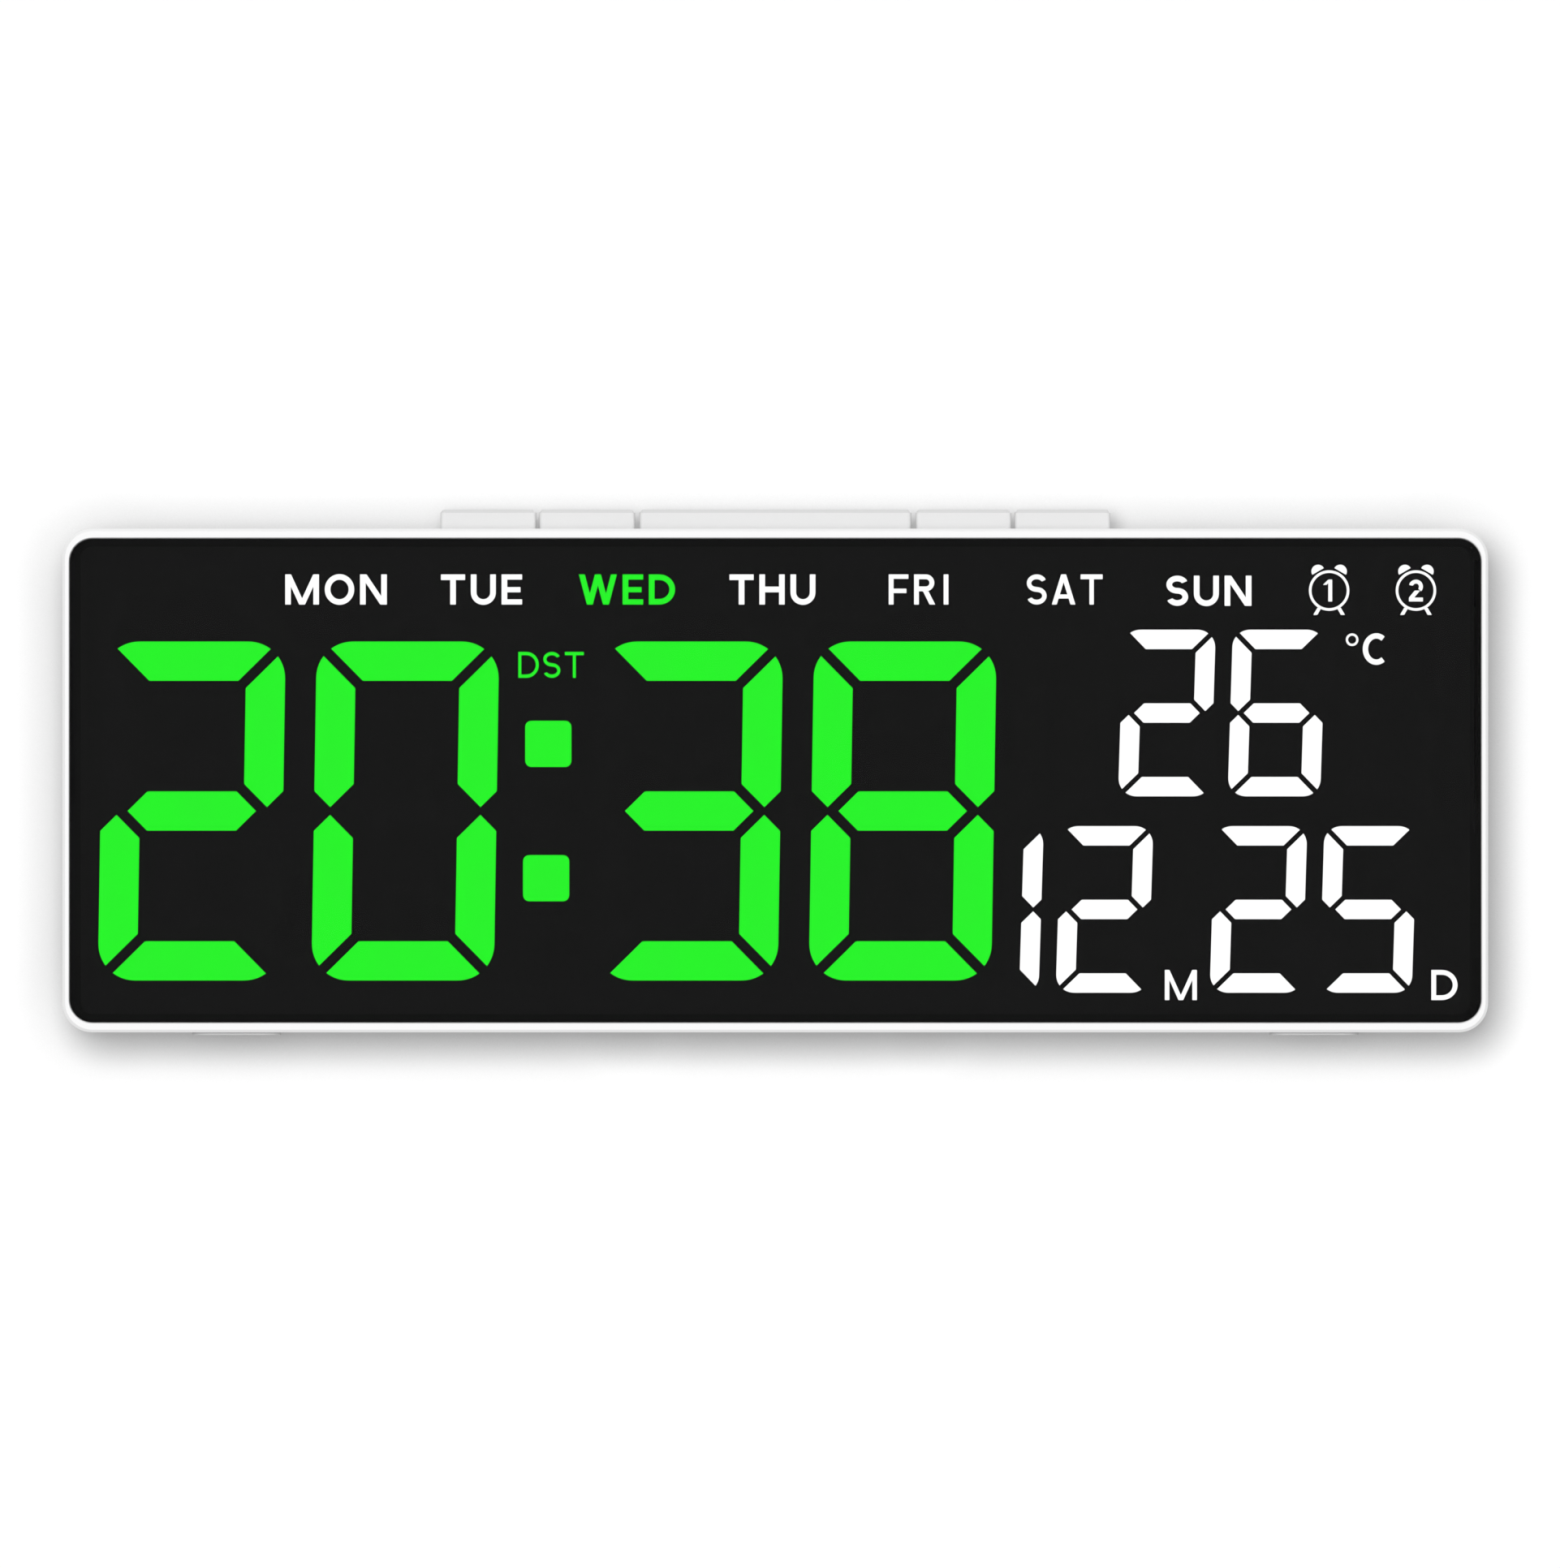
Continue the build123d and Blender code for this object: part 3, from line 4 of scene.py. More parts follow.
import bmesh
import bpy
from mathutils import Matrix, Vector


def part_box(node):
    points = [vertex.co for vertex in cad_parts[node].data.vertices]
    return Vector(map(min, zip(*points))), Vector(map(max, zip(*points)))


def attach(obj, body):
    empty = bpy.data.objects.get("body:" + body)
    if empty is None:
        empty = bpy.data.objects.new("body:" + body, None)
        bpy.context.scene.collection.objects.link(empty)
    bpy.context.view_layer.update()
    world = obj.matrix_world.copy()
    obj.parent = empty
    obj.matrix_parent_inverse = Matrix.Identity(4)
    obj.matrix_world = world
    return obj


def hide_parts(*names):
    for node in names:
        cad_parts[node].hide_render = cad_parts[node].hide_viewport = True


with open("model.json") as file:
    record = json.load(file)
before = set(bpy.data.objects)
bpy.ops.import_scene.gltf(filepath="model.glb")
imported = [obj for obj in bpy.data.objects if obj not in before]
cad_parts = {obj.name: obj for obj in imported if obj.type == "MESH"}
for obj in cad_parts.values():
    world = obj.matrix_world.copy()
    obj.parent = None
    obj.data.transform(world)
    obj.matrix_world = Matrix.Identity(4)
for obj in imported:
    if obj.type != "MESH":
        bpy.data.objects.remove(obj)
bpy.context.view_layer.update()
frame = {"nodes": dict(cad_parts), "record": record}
nodes = frame["nodes"]

# Sizes in metres, in the part's own frame: X to the right, the face looks along -Y, Z is up.

mm = 0.001
case_low, case_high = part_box("front_frame")
case_width = case_high[0] - case_low[0]
tile_face_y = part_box("indicator_tiles")[0][1]

# The photograph: its size, and the case's edges in it, in pixels
PHOTO_HEIGHT = 1932
PHOTO_MIDDLE = (961, 966)
CASE_LEFT = 77
CASE_RIGHT = 1833.5
CASE_BOTTOM = 1272
pixel = case_width / (CASE_RIGHT - CASE_LEFT)

# Lettering behind the lens
cap_height = 4.76 * mm
summer_height = 4.1 * mm
summer_narrow = 0.91
letter_proud = 0.04 * mm
letter_sunk = 0.01 * mm
letter_gap = 0.19
# Stroke widths, in cap heights
bold = 0.188
medium = 0.16
light = 0.13
date_drop = 0.13 * mm
ring_radius = 3.2 * mm
ring_drop = 0.17 * mm
degree_size = 2.0 * mm
degree_height = 5.0 * mm
degree_stroke = 0.17

# Screws: head radius, head height and shank radius
case_screw = (2.2 * mm, 1.6 * mm, 0.9 * mm)
board_screw = (1.9 * mm, 1.2 * mm, 0.7 * mm)
recess_width = 0.5 * mm
thread_pitch = 0.8 * mm

# Lamps, pins, cells and solder joints
large_dome = 0.55 * mm
small_dome = 0.3 * mm
dome_height = 0.18 * mm
pin_strip_depth = 2.5 * mm
cell_cap = 1.6 * mm
cell_band = 11.0 * mm
switch_pin_across = 3.2 * mm
switch_pin_along = 2.25 * mm
joint_radius = 0.7 * mm
joint_height = 0.6 * mm
joint_sink = 0.25 * mm

# Backdrop, floor and light
wall_gap = 6.0 * mm
wall_glow = 0.02
floor_glow = 0.42
# How far from the case, and how dark, the shade painted into the floor's and backdrop's colour
# reaches
nook_reach = 12.0 * mm
nook_shade = 0.1
stage_size = 6.0
world_level = 0.36
key_level = 2.05
key_place = (-0.052, -1.0, 0.07)
key_softness = math.radians(14)
back_level = 0.7
back_place = (0.4, 1.0, 0.5)
overhead_watts = 1.0
overhead_size = 0.5
overhead_left = 0.1
overhead_behind = 0.3
overhead_rise = 0.7
camera_back = 0.8


class Value:
    """A node's output that sums can be written with."""

    def __init__(self, graph, socket):
        self.graph = graph
        self.socket = socket

    def sum(self, operation, first, second):
        return self.graph.node("ShaderNodeMath", {"operation": operation}, {0: first, 1: second})

    def __add__(self, other):
        return self.sum("ADD", self, other)

    def __radd__(self, other):
        return self.sum("ADD", other, self)

    def __sub__(self, other):
        return self.sum("SUBTRACT", self, other)

    def __rsub__(self, other):
        return self.sum("SUBTRACT", other, self)

    def __mul__(self, other):
        return self.sum("MULTIPLY", self, other)

    def __rmul__(self, other):
        return self.sum("MULTIPLY", other, self)

    def __truediv__(self, other):
        return self.sum("DIVIDE", self, other)

    def __gt__(self, other):
        return self.sum("GREATER_THAN", self, other)


class Graph:
    """A node tree that is built by one method."""

    def __init__(self, tree):
        self.tree = tree

    def node(self, kind, settings=None, inputs=None, output=0):
        """Adds a node: its settings first, then its sockets. Returns one of its outputs."""
        node = self.tree.nodes.new(kind)
        for name, value in (settings or {}).items():
            setattr(node, name, value)
        for name, value in (inputs or {}).items():
            self.feed(node.inputs[name], value)
        return Value(self, node.outputs[output]) if node.outputs else node

    def feed(self, socket, value):
        """Gives a socket a plain value, or links each Value in turn to it."""
        if isinstance(value, list):
            for one in value:
                self.tree.links.new(one.socket, socket)
        elif isinstance(value, Value):
            self.tree.links.new(value.socket, socket)
        else:
            socket.default_value = value

    def pick(self, value, output):
        """Another output of the node that a value comes from."""
        return Value(self, value.socket.node.outputs[output])

    def blend(self, factor, first, second):
        """A colour between two colours."""
        return self.node("ShaderNodeMix", {"data_type": "RGBA"}, {0: factor, 6: first, 7: second}, 2)


class Finish(Graph):
    """A material made of one Principled shader on the part's own coordinates."""

    def __init__(self, name, **even):
        self.material = bpy.data.materials.new(name)
        self.material.use_nodes = True
        super().__init__(self.material.node_tree)
        self.tree.nodes.clear()
        even = {word.replace("_", " "): value for word, value in even.items()}
        shader = self.node("ShaderNodeBsdfPrincipled", {}, even)
        self.shader = shader.socket.node
        self.node("ShaderNodeOutputMaterial", {}, {"Surface": shader})
        self.place = self.node("ShaderNodeTexCoord", output="Object")

    def vary(self, name, value):
        """Lets a value that changes over the surface feed one of the shader's sockets."""
        self.feed(self.shader.inputs[name], value)

    def noise(self, scale, detail=2.0, place=None):
        """Cloudy noise from 0 to 1; scale is in patches per metre."""
        return self.node("ShaderNodeTexNoise", {}, {"Vector": place or self.place, "Scale": scale,
                                                    "Detail": detail})

    def along(self, axis):
        """The place along one axis, in metres."""
        return self.node("ShaderNodeSeparateXYZ", {}, {0: self.place}, axis)

    def grain(self, scale, depth, strength=1.0):
        """A fine moulded grain, depth in metres."""
        self.vary("Normal", self.node("ShaderNodeBump", {}, {
            "Strength": strength, "Distance": depth, "Height": self.noise(scale, 3.0)}))


def grey(level):
    """A neutral colour."""
    return (level, level, level, 1.0)


# Materials, one function for each finish


def moulded_white(name, low, high, roughness, grain):
    """White moulded plastic: cloudy tone, spark-eroded grain and faint handling marks."""
    finish = Finish(name, Specular_IOR_Level=0.35)
    finish.vary("Base Color", finish.blend(finish.noise(45.0), grey(low), grey(high)))
    finish.vary("Roughness", roughness + 0.1 * finish.noise(700.0, 4.0))
    finish.grain(5200.0, grain)
    return finish.material


def case_white():
    return moulded_white("case_white", 0.945, 0.965, 0.42, 0.000012)


def button_white():
    # The buttons are the same white plastic as the case; their darker base colour is painted shade.
    return moulded_white("button_white", 0.735, 0.755, 0.46, 0.000004)


def smoked_lens():
    """Smoked acrylic, seen through, with a trace of polish marks."""
    finish = Finish("smoked_lens", Alpha=0.3, Specular_IOR_Level=0.15)
    smudge = finish.noise(38.0, 5.0)
    finish.vary("Base Color", finish.blend(smudge, grey(0.0055), grey(0.0065)))
    finish.vary("Roughness", 0.06 + 0.05 * smudge)
    return finish.material


def plain_black(name, low, high, roughness, scale, shine=0.15):
    """Dull black plastic, tape or film."""
    finish = Finish(name, Specular_IOR_Level=shine)
    finish.vary("Base Color", finish.blend(finish.noise(scale), grey(low), grey(high)))
    finish.vary("Roughness", roughness + 0.15 * finish.noise(scale * 9.0))
    return finish.material


def glowing(name, colour, level):
    """A lit diffuser: even light that varies a touch in cloudy patches."""
    finish = Finish(name, Specular_IOR_Level=0.1, Emission_Strength=level)
    dim = tuple(0.965 * part for part in colour[:3]) + (1.0,)
    skin = tuple(0.12 * part for part in colour[:3]) + (1.0,)
    cloud = finish.noise(150.0, 1.0)
    finish.vary("Base Color", finish.blend(cloud, grey(0.02), skin))
    finish.vary("Emission Color", finish.blend(cloud, dim, colour))
    finish.vary("Roughness", 0.45 + 0.1 * cloud)
    return finish.material


def board_green():
    """Solder mask over copper tracks."""
    finish = Finish("board_green", Specular_IOR_Level=0.4)
    track = finish.node("ShaderNodeTexBrick", {"offset": 0.5, "squash": 1.0}, {
        "Vector": finish.place, "Scale": 180.0, "Mortar Size": 0.03, "Mortar Smooth": 0.2,
        "Color1": (0.010, 0.105, 0.042, 1.0), "Color2": (0.012, 0.120, 0.048, 1.0),
        "Mortar": (0.022, 0.185, 0.075, 1.0)})
    finish.vary("Base Color", finish.blend(0.25 * finish.noise(400.0), track,
                                           (0.006, 0.08, 0.03, 1.0)))
    finish.vary("Roughness", 0.28 + 0.12 * finish.noise(500.0))
    return finish.material


def metal(name, low, high, roughness):
    """Plated or drawn metal with fine clouding."""
    finish = Finish(name, Metallic=1.0)
    cloud = finish.noise(600.0, 4.0)
    finish.vary("Base Color", finish.blend(cloud, low, high))
    finish.vary("Roughness", roughness + 0.15 * cloud)
    finish.grain(3000.0, 0.000006)
    return finish.material


def lamp_body():
    """Pale lamp package with a warm tint."""
    finish = Finish("lamp_body", Specular_IOR_Level=0.4)
    finish.vary("Base Color", finish.blend(finish.noise(900.0), (0.84, 0.83, 0.74, 1.0),
                                           (0.88, 0.87, 0.8, 1.0)))
    finish.vary("Roughness", 0.3 + 0.1 * finish.noise(1500.0))
    return finish.material


def header_pins():
    """Black pin strip whose pins, behind the strip, are tinned."""
    finish = Finish("header_pins")
    strip_end = board_back() + pin_strip_depth
    pin = finish.along(1) > strip_end
    finish.vary("Base Color", finish.blend(pin, grey(0.03), (0.7, 0.66, 0.55, 1.0)))
    finish.vary("Metallic", pin * 1.0)
    finish.vary("Roughness", 0.4 - 0.12 * pin + 0.1 * finish.noise(1200.0))
    return finish.material


def board_back():
    """How far back the display board reaches."""
    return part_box("display_board")[1][1]


def cell_sleeve():
    """Plain printed sleeve: dark with a lighter band, bare metal at both ends."""
    finish = Finish("cell_sleeve")
    low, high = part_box("battery_cells")
    middle = (low[0] + high[0]) / 2
    half = (high[0] - low[0]) / 2
    away = finish.node("ShaderNodeMath", {"operation": "ABSOLUTE"}, {0: finish.along(0) - middle})
    end = away > half - cell_cap
    band = (away > half - cell_band) * (1 - end)
    sleeve = finish.blend(band, grey(0.045), (0.30, 0.31, 0.33, 1.0))
    finish.vary("Base Color", finish.blend(end, sleeve, grey(0.72)))
    finish.vary("Metallic", 0.4 + 0.6 * end)
    finish.vary("Roughness", 0.24 + 0.12 * finish.noise(300.0))
    return finish.material


def foot_rubber():
    """Pale soft rubber."""
    finish = Finish("foot_rubber", Specular_IOR_Level=0.2)
    finish.vary("Base Color", finish.blend(finish.noise(250.0), grey(0.7), grey(0.76)))
    finish.vary("Roughness", 0.72 + 0.1 * finish.noise(1800.0))
    finish.grain(2600.0, 0.00002)
    return finish.material


# Light passes both faces of the lens, each of which keeps 0.3 back
lens_pass = 0.49
green_colour = (0.013, 0.91, 0.015, 1.0)

finishes = {
    "case_white": case_white(),
    "button_white": button_white(),
    "smoked_lens": smoked_lens(),
    "tape_black": plain_black("tape_black", 0.0015, 0.0025, 0.7, 900.0),
    "reflector_black": plain_black("reflector_black", 0.0055, 0.0065, 0.55, 300.0, 0.05),
    "green_light": glowing("green_light", green_colour, 0.975 / lens_pass),
    "white_light": glowing("white_light", grey(1.0), 1.02 / lens_pass),
    "dark_segment": plain_black("dark_segment", 0.0065, 0.0075, 0.5, 300.0, 0.05),
    "tile_black": plain_black("tile_black", 0.0055, 0.0065, 0.5, 300.0, 0.05),
    "board_green": board_green(),
    "lamp_body": lamp_body(),
    "chip_black": plain_black("chip_black", 0.018, 0.026, 0.5, 1800.0),
    "switch_black": plain_black("switch_black", 0.03, 0.04, 0.4, 1200.0),
    "plunger_black": plain_black("plunger_black", 0.02, 0.03, 0.45, 1500.0),
    "screw_steel": metal("screw_steel", (0.52, 0.52, 0.54, 1.0), (0.64, 0.64, 0.66, 1.0), 0.26),
    "can_metal": metal("can_metal", (0.72, 0.72, 0.74, 1.0), (0.8, 0.8, 0.82, 1.0), 0.2),
    "socket_steel": metal("socket_steel", (0.6, 0.6, 0.62, 1.0), (0.68, 0.68, 0.7, 1.0), 0.24),
    "header_pins": header_pins(),
    "sensor_resin": plain_black("sensor_resin", 0.012, 0.02, 0.2, 900.0),
    "cell_sleeve": cell_sleeve(),
    "contact_nickel": metal("contact_nickel", (0.66, 0.63, 0.57, 1.0), (0.74, 0.71, 0.65, 1.0), 0.25),
    "foot_rubber": foot_rubber()}

for subpart in frame["record"]["subparts"]:
    slots = nodes[subpart["node"]].data.materials
    slots[0] = finishes[subpart["material_slot"]]


# Places that come from the frame


def solids(name):
    """The boxes of a CAD node's separate solids, each as its middle and its size."""
    shape = bmesh.new()
    shape.from_mesh(nodes[name].data)
    bmesh.ops.remove_doubles(shape, verts=shape.verts, dist=1e-6)
    left = set(shape.verts)
    boxes = []
    while left:
        group = [left.pop()]
        for vertex in group:
            for edge in vertex.link_edges:
                other = edge.other_vert(vertex)
                if other in left:
                    left.remove(other)
                    group.append(other)
        low = Vector(min(vertex.co[axis] for vertex in group) for axis in range(3))
        high = Vector(max(vertex.co[axis] for vertex in group) for axis in range(3))
        boxes.append(((low + high) / 2, high - low))
    shape.free()
    return boxes


def new_object(name, shape, material):
    """A mesh object at the origin, from a finished bmesh."""
    bmesh.ops.remove_doubles(shape, verts=shape.verts, dist=1e-7)
    bmesh.ops.recalc_face_normals(shape, faces=shape.faces)
    mesh = bpy.data.meshes.new(name)
    shape.to_mesh(mesh)
    shape.free()
    mesh.materials.append(material)
    made = bpy.data.objects.new(name, mesh)
    bpy.context.scene.collection.objects.link(made)
    return made


# Strokes: each is two rows of points, its left and its right side, in cap heights


def bar(left, low, right, high):
    """An upright or level stroke."""
    return [(left, low), (left, high)], [(right, low), (right, high)]


def slant(low_x, high_x, across, low=0.0, high=1.0):
    """A sloping stroke with level ends."""
    return [(low_x, low), (high_x, high)], [(low_x + across, low), (high_x + across, high)]


def bow(x, z, wide, tall, start, end, stroke):
    """A stroke along an ellipse that is wide by tall outside, between two angles in degrees."""
    steps = max(6, round(abs(end - start) / 9))
    inner, outer = [], []
    for step in range(steps + 1):
        angle = math.radians(start + (end - start) * step / steps)
        across, up = math.cos(angle), math.sin(angle)
        outer.append((x + wide / 2 * across, z + tall / 2 * up))
        inner.append((x + (wide / 2 - stroke) * across, z + (tall / 2 - stroke) * up))
    return inner, outer


# Letters: each takes its stroke and gives its width and its strokes


def letter_a(s):
    wide = 0.86
    foot = 1.12 * s
    apex = wide / 2 - foot / 2
    return wide, [slant(0, apex, foot), slant(wide - foot, apex, foot),
                  bar(0.2 * wide, 0.2, 0.8 * wide, 0.2 + 0.85 * s)]


def letter_c(s):
    wide = 0.78
    return wide, [bow(wide / 2 + 0.04, 0.5, wide + 0.08, 1.0, 52, 308, s)]


def letter_d(s):
    wide = 0.87
    flat = 0.4 * wide
    return wide, [bar(0, 0, s, 1), bar(s, 0, flat, s), bar(s, 1 - s, flat, 1),
                  bow(flat, 0.5, 2 * (wide - flat), 1.0, -90, 90, s)]


def letter_e(s):
    wide = 0.68
    middle = 0.5 - s / 2
    return wide, [bar(0, 0, s, 1), bar(s, 0, wide, 0.92 * s), bar(s, 1 - 0.92 * s, wide, 1),
                  bar(s, middle, 0.92 * wide, middle + 0.92 * s)]


def letter_f(s):
    wide = 0.65
    middle = 0.46 - s / 2
    return wide, [bar(0, 0, s, 1), bar(s, 1 - 0.92 * s, wide, 1),
                  bar(s, middle, 0.9 * wide, middle + 0.92 * s)]


def letter_h(s):
    wide = 0.84
    return wide, [bar(0, 0, s, 1), bar(wide - s, 0, wide, 1),
                  bar(s, 0.5 - s / 2, wide - s, 0.5 + s / 2)]


def letter_i(s):
    bearing = 0.09
    return bearing + s, [bar(bearing, 0, bearing + s, 1)]


def letter_m(s):
    wide = 1.12
    lean = 1.02 * s
    foot = (wide - lean) / 2
    return wide, [bar(0, 0, s, 1), bar(wide - s, 0, wide, 1), slant(foot, 0, lean),
                  slant(foot, wide - lean, lean)]


def letter_n(s):
    wide = 0.89
    lean = 1.15 * s
    return wide, [bar(0, 0, s, 1), bar(wide - s, 0, wide, 1), slant(wide - lean, 0, lean)]


def letter_o(s):
    wide = 0.98
    return wide, [bow(wide / 2, 0.5, wide, 1.02, 0, 360, s)]


def letter_r(s):
    wide = 0.7
    bowl = 0.56
    flat = wide - bowl / 2 - 0.03
    waist = 1 - bowl
    return wide, [bar(0, 0, s, 1), bar(s, 1 - s, flat, 1), bar(s, waist, flat, waist + s),
                  bow(flat, 1 - bowl / 2, bowl, bowl, -90, 90, s),
                  slant(wide - 1.15 * s, 0.42 * wide, 1.15 * s, 0, waist)]


def letter_s(s):
    wide = 0.72
    tall = 0.5 + s / 2
    return wide, [bow(wide / 2, 1 - tall / 2, wide, tall, 24, 270, s),
                  bow(wide / 2, tall / 2, wide, tall, 90, -156, s)]


def letter_t(s):
    wide = 0.8
    return wide, [bar(0, 1 - s, wide, 1), bar((wide - s) / 2, 0, (wide + s) / 2, 1 - s)]


def letter_u(s):
    wide = 0.83
    bend = 0.4
    return wide, [bar(0, bend, s, 1), bar(wide - s, bend, wide, 1),
                  bow(wide / 2, bend, wide, 2 * bend + 0.02, 180, 360, s)]


def letter_w(s):
    wide = 1.26
    lean = 1.04 * s
    first = 0.21 * wide
    middle = (wide - lean) / 2
    last = wide - lean - first
    return wide, [slant(first, 0, lean), slant(first, middle, lean), slant(last, middle, lean),
                  slant(last, wide - lean, lean)]


letters = {"A": letter_a, "C": letter_c, "D": letter_d, "E": letter_e, "F": letter_f,
           "H": letter_h, "I": letter_i, "M": letter_m, "N": letter_n, "O": letter_o,
           "R": letter_r, "S": letter_s, "T": letter_t, "U": letter_u, "W": letter_w}


def figure_one(s):
    """A 1 with its flag, one cap height tall; its stem stands left of the right edge."""
    wide = 0.6
    stem = 0.44
    return wide, [bar(stem - s, 0, stem, 1), slant(0.02, stem - s, 0.9 * s, 0.76, 1.0)]


def figure_two(s):
    """A 2, one cap height tall."""
    wide = 0.64
    return wide, [bar(0, 0, wide, s), slant(0.0, 0.42 * wide, 1.35 * s, s, 0.5),
                  bow(wide / 2, 0.68, wide, 0.64, 165, -42, s)]


def shifted(strokes, x, z, size, narrow=1.0):
    """Strokes scaled to a size in metres, squeezed sideways and moved."""
    return [tuple([(x + narrow * size * px, z + size * pz) for px, pz in side] for side in stroke)
            for stroke in strokes]


def word(text, middle, height, stroke, narrow=1.0):
    """A word's strokes, set round its middle."""
    drawn = [letters[character](stroke) for character in text]
    length = sum(wide for wide, strokes in drawn) + letter_gap * (len(text) - 1)
    x = middle[0] - length * height * narrow / 2
    placed = []
    for wide, strokes in drawn:
        placed += shifted(strokes, x, middle[2] - height / 2, height, narrow)
        x += (wide + letter_gap) * height * narrow
    return placed


def cut_film(name, strokes, colour):
    """Lettering let into the mask film: every stroke becomes a thin closed plate."""
    shape = bmesh.new()
    front, back = tile_face_y - letter_proud, tile_face_y + letter_sunk
    for left, right in strokes:
        closed = (Vector(left[0]) - Vector(left[-1])).length < 1e-7
        rows = [[shape.verts.new((x, y, z)) for x, z in side]
                for side in (left, right) for y in (front, back)]
        left_front, left_back, right_front, right_back = rows
        for step in range(len(left) - 1):
            for one, other in ((left_front, right_front), (right_front, right_back),
                               (right_back, left_back), (left_back, left_front)):
                shape.faces.new((one[step], one[step + 1], other[step + 1], other[step]))
        if not closed:
            for step in (0, -1):
                shape.faces.new([row[step] for row in (left_front, right_front, right_back,
                                                       left_back)])
    made = new_object(name, shape, finishes[colour])
    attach(made, "case")


tiles = [middle for middle, size in solids("indicator_tiles")]
top_z = max(middle[2] for middle in tiles)
top_row = sorted((middle for middle in tiles if top_z - middle[2] < mm), key=lambda spot: spot[0])
summer_tile, month_tile, degree_tile, day_tile = sorted(
    (middle for middle in tiles if top_z - middle[2] >= mm), key=lambda spot: spot[0])


def weekday_words():
    """The days of the week; today's lights up green."""
    names = ("MON", "TUE", "WED", "THU", "FRI", "SAT", "SUN")
    today = "WED"
    plain = (bold, 1.0, 0.0, 0.0)
    # The face sets these a little apart: stroke, narrowing, and shifts to the right and up
    apart = {"FRI": (medium, 1.0, 0.1 * mm, 0.0), "SAT": (medium, 0.91, 0.2 * mm, 0.0),
             "SUN": (bold, 1.0, 0.0, -0.2 * mm)}
    others = []
    for name, spot in zip(names, top_row):
        stroke, narrow, right, up = apart.get(name, plain)
        strokes = word(name, spot + Vector((right, 0, up)), cap_height, stroke, narrow)
        if name == today:
            cut_film("weekday_today", strokes, "green_light")
        else:
            others += strokes
    cut_film("weekday_words", others, "white_light")


def alarm_icon(spot, figure):
    """A bell clock: ring, two bells, two legs and the alarm's number."""
    hand = 0.13
    bell_turn, bell_away, bell_radius = 30, 1.09, 0.33
    strokes = [bow(0, 0, 2, 2, 0, 360, hand)]
    for side in (-1, 1):
        lean = math.radians(bell_turn) * side
        bell_x, bell_z = bell_away * math.sin(lean), bell_away * math.cos(lean)
        turn = 90 - side * bell_turn
        strokes.append(bow(bell_x, bell_z, 2 * bell_radius, 2 * bell_radius, turn - 90, turn + 90,
                           bell_radius - 0.001))
        leg = slant(0.58, 0.38, 0.2, -1.2, -0.85)
        strokes.append(tuple([(side * x, z) for x, z in row] for row in leg))
    wide, digit = figure(0.18)
    tall = 1.08
    strokes += shifted(digit, -wide * tall / 2, -tall / 2, tall)
    return shifted(strokes, spot[0], spot[2] - ring_drop, ring_radius)


def degree_sign():
    """The degree ring and its C."""
    ring_spot = degree_tile + Vector((-2.27 * mm, 0, 1.22 * mm))
    letter_spot = degree_tile + Vector((1.35 * mm, 0, -0.25 * mm))
    ring = shifted([bow(0, 0, 1, 1, 0, 360, 0.18)], ring_spot[0], ring_spot[2], degree_size)
    cut_film("degree_sign", ring + word("C", letter_spot, degree_height, degree_stroke),
             "white_light")


weekday_words()
cut_film("alarm_icons", alarm_icon(top_row[7], figure_one) + alarm_icon(top_row[8], figure_two),
         "white_light")
cut_film("summer_word", word("DST", summer_tile, summer_height, light, summer_narrow),
         "green_light")
degree_sign()
lower = Vector((0, 0, -date_drop))
cut_film("date_letters", word("M", month_tile + lower, cap_height, medium, 0.95)
         + word("D", day_tile + lower, cap_height, medium), "white_light")


# Geometry Nodes


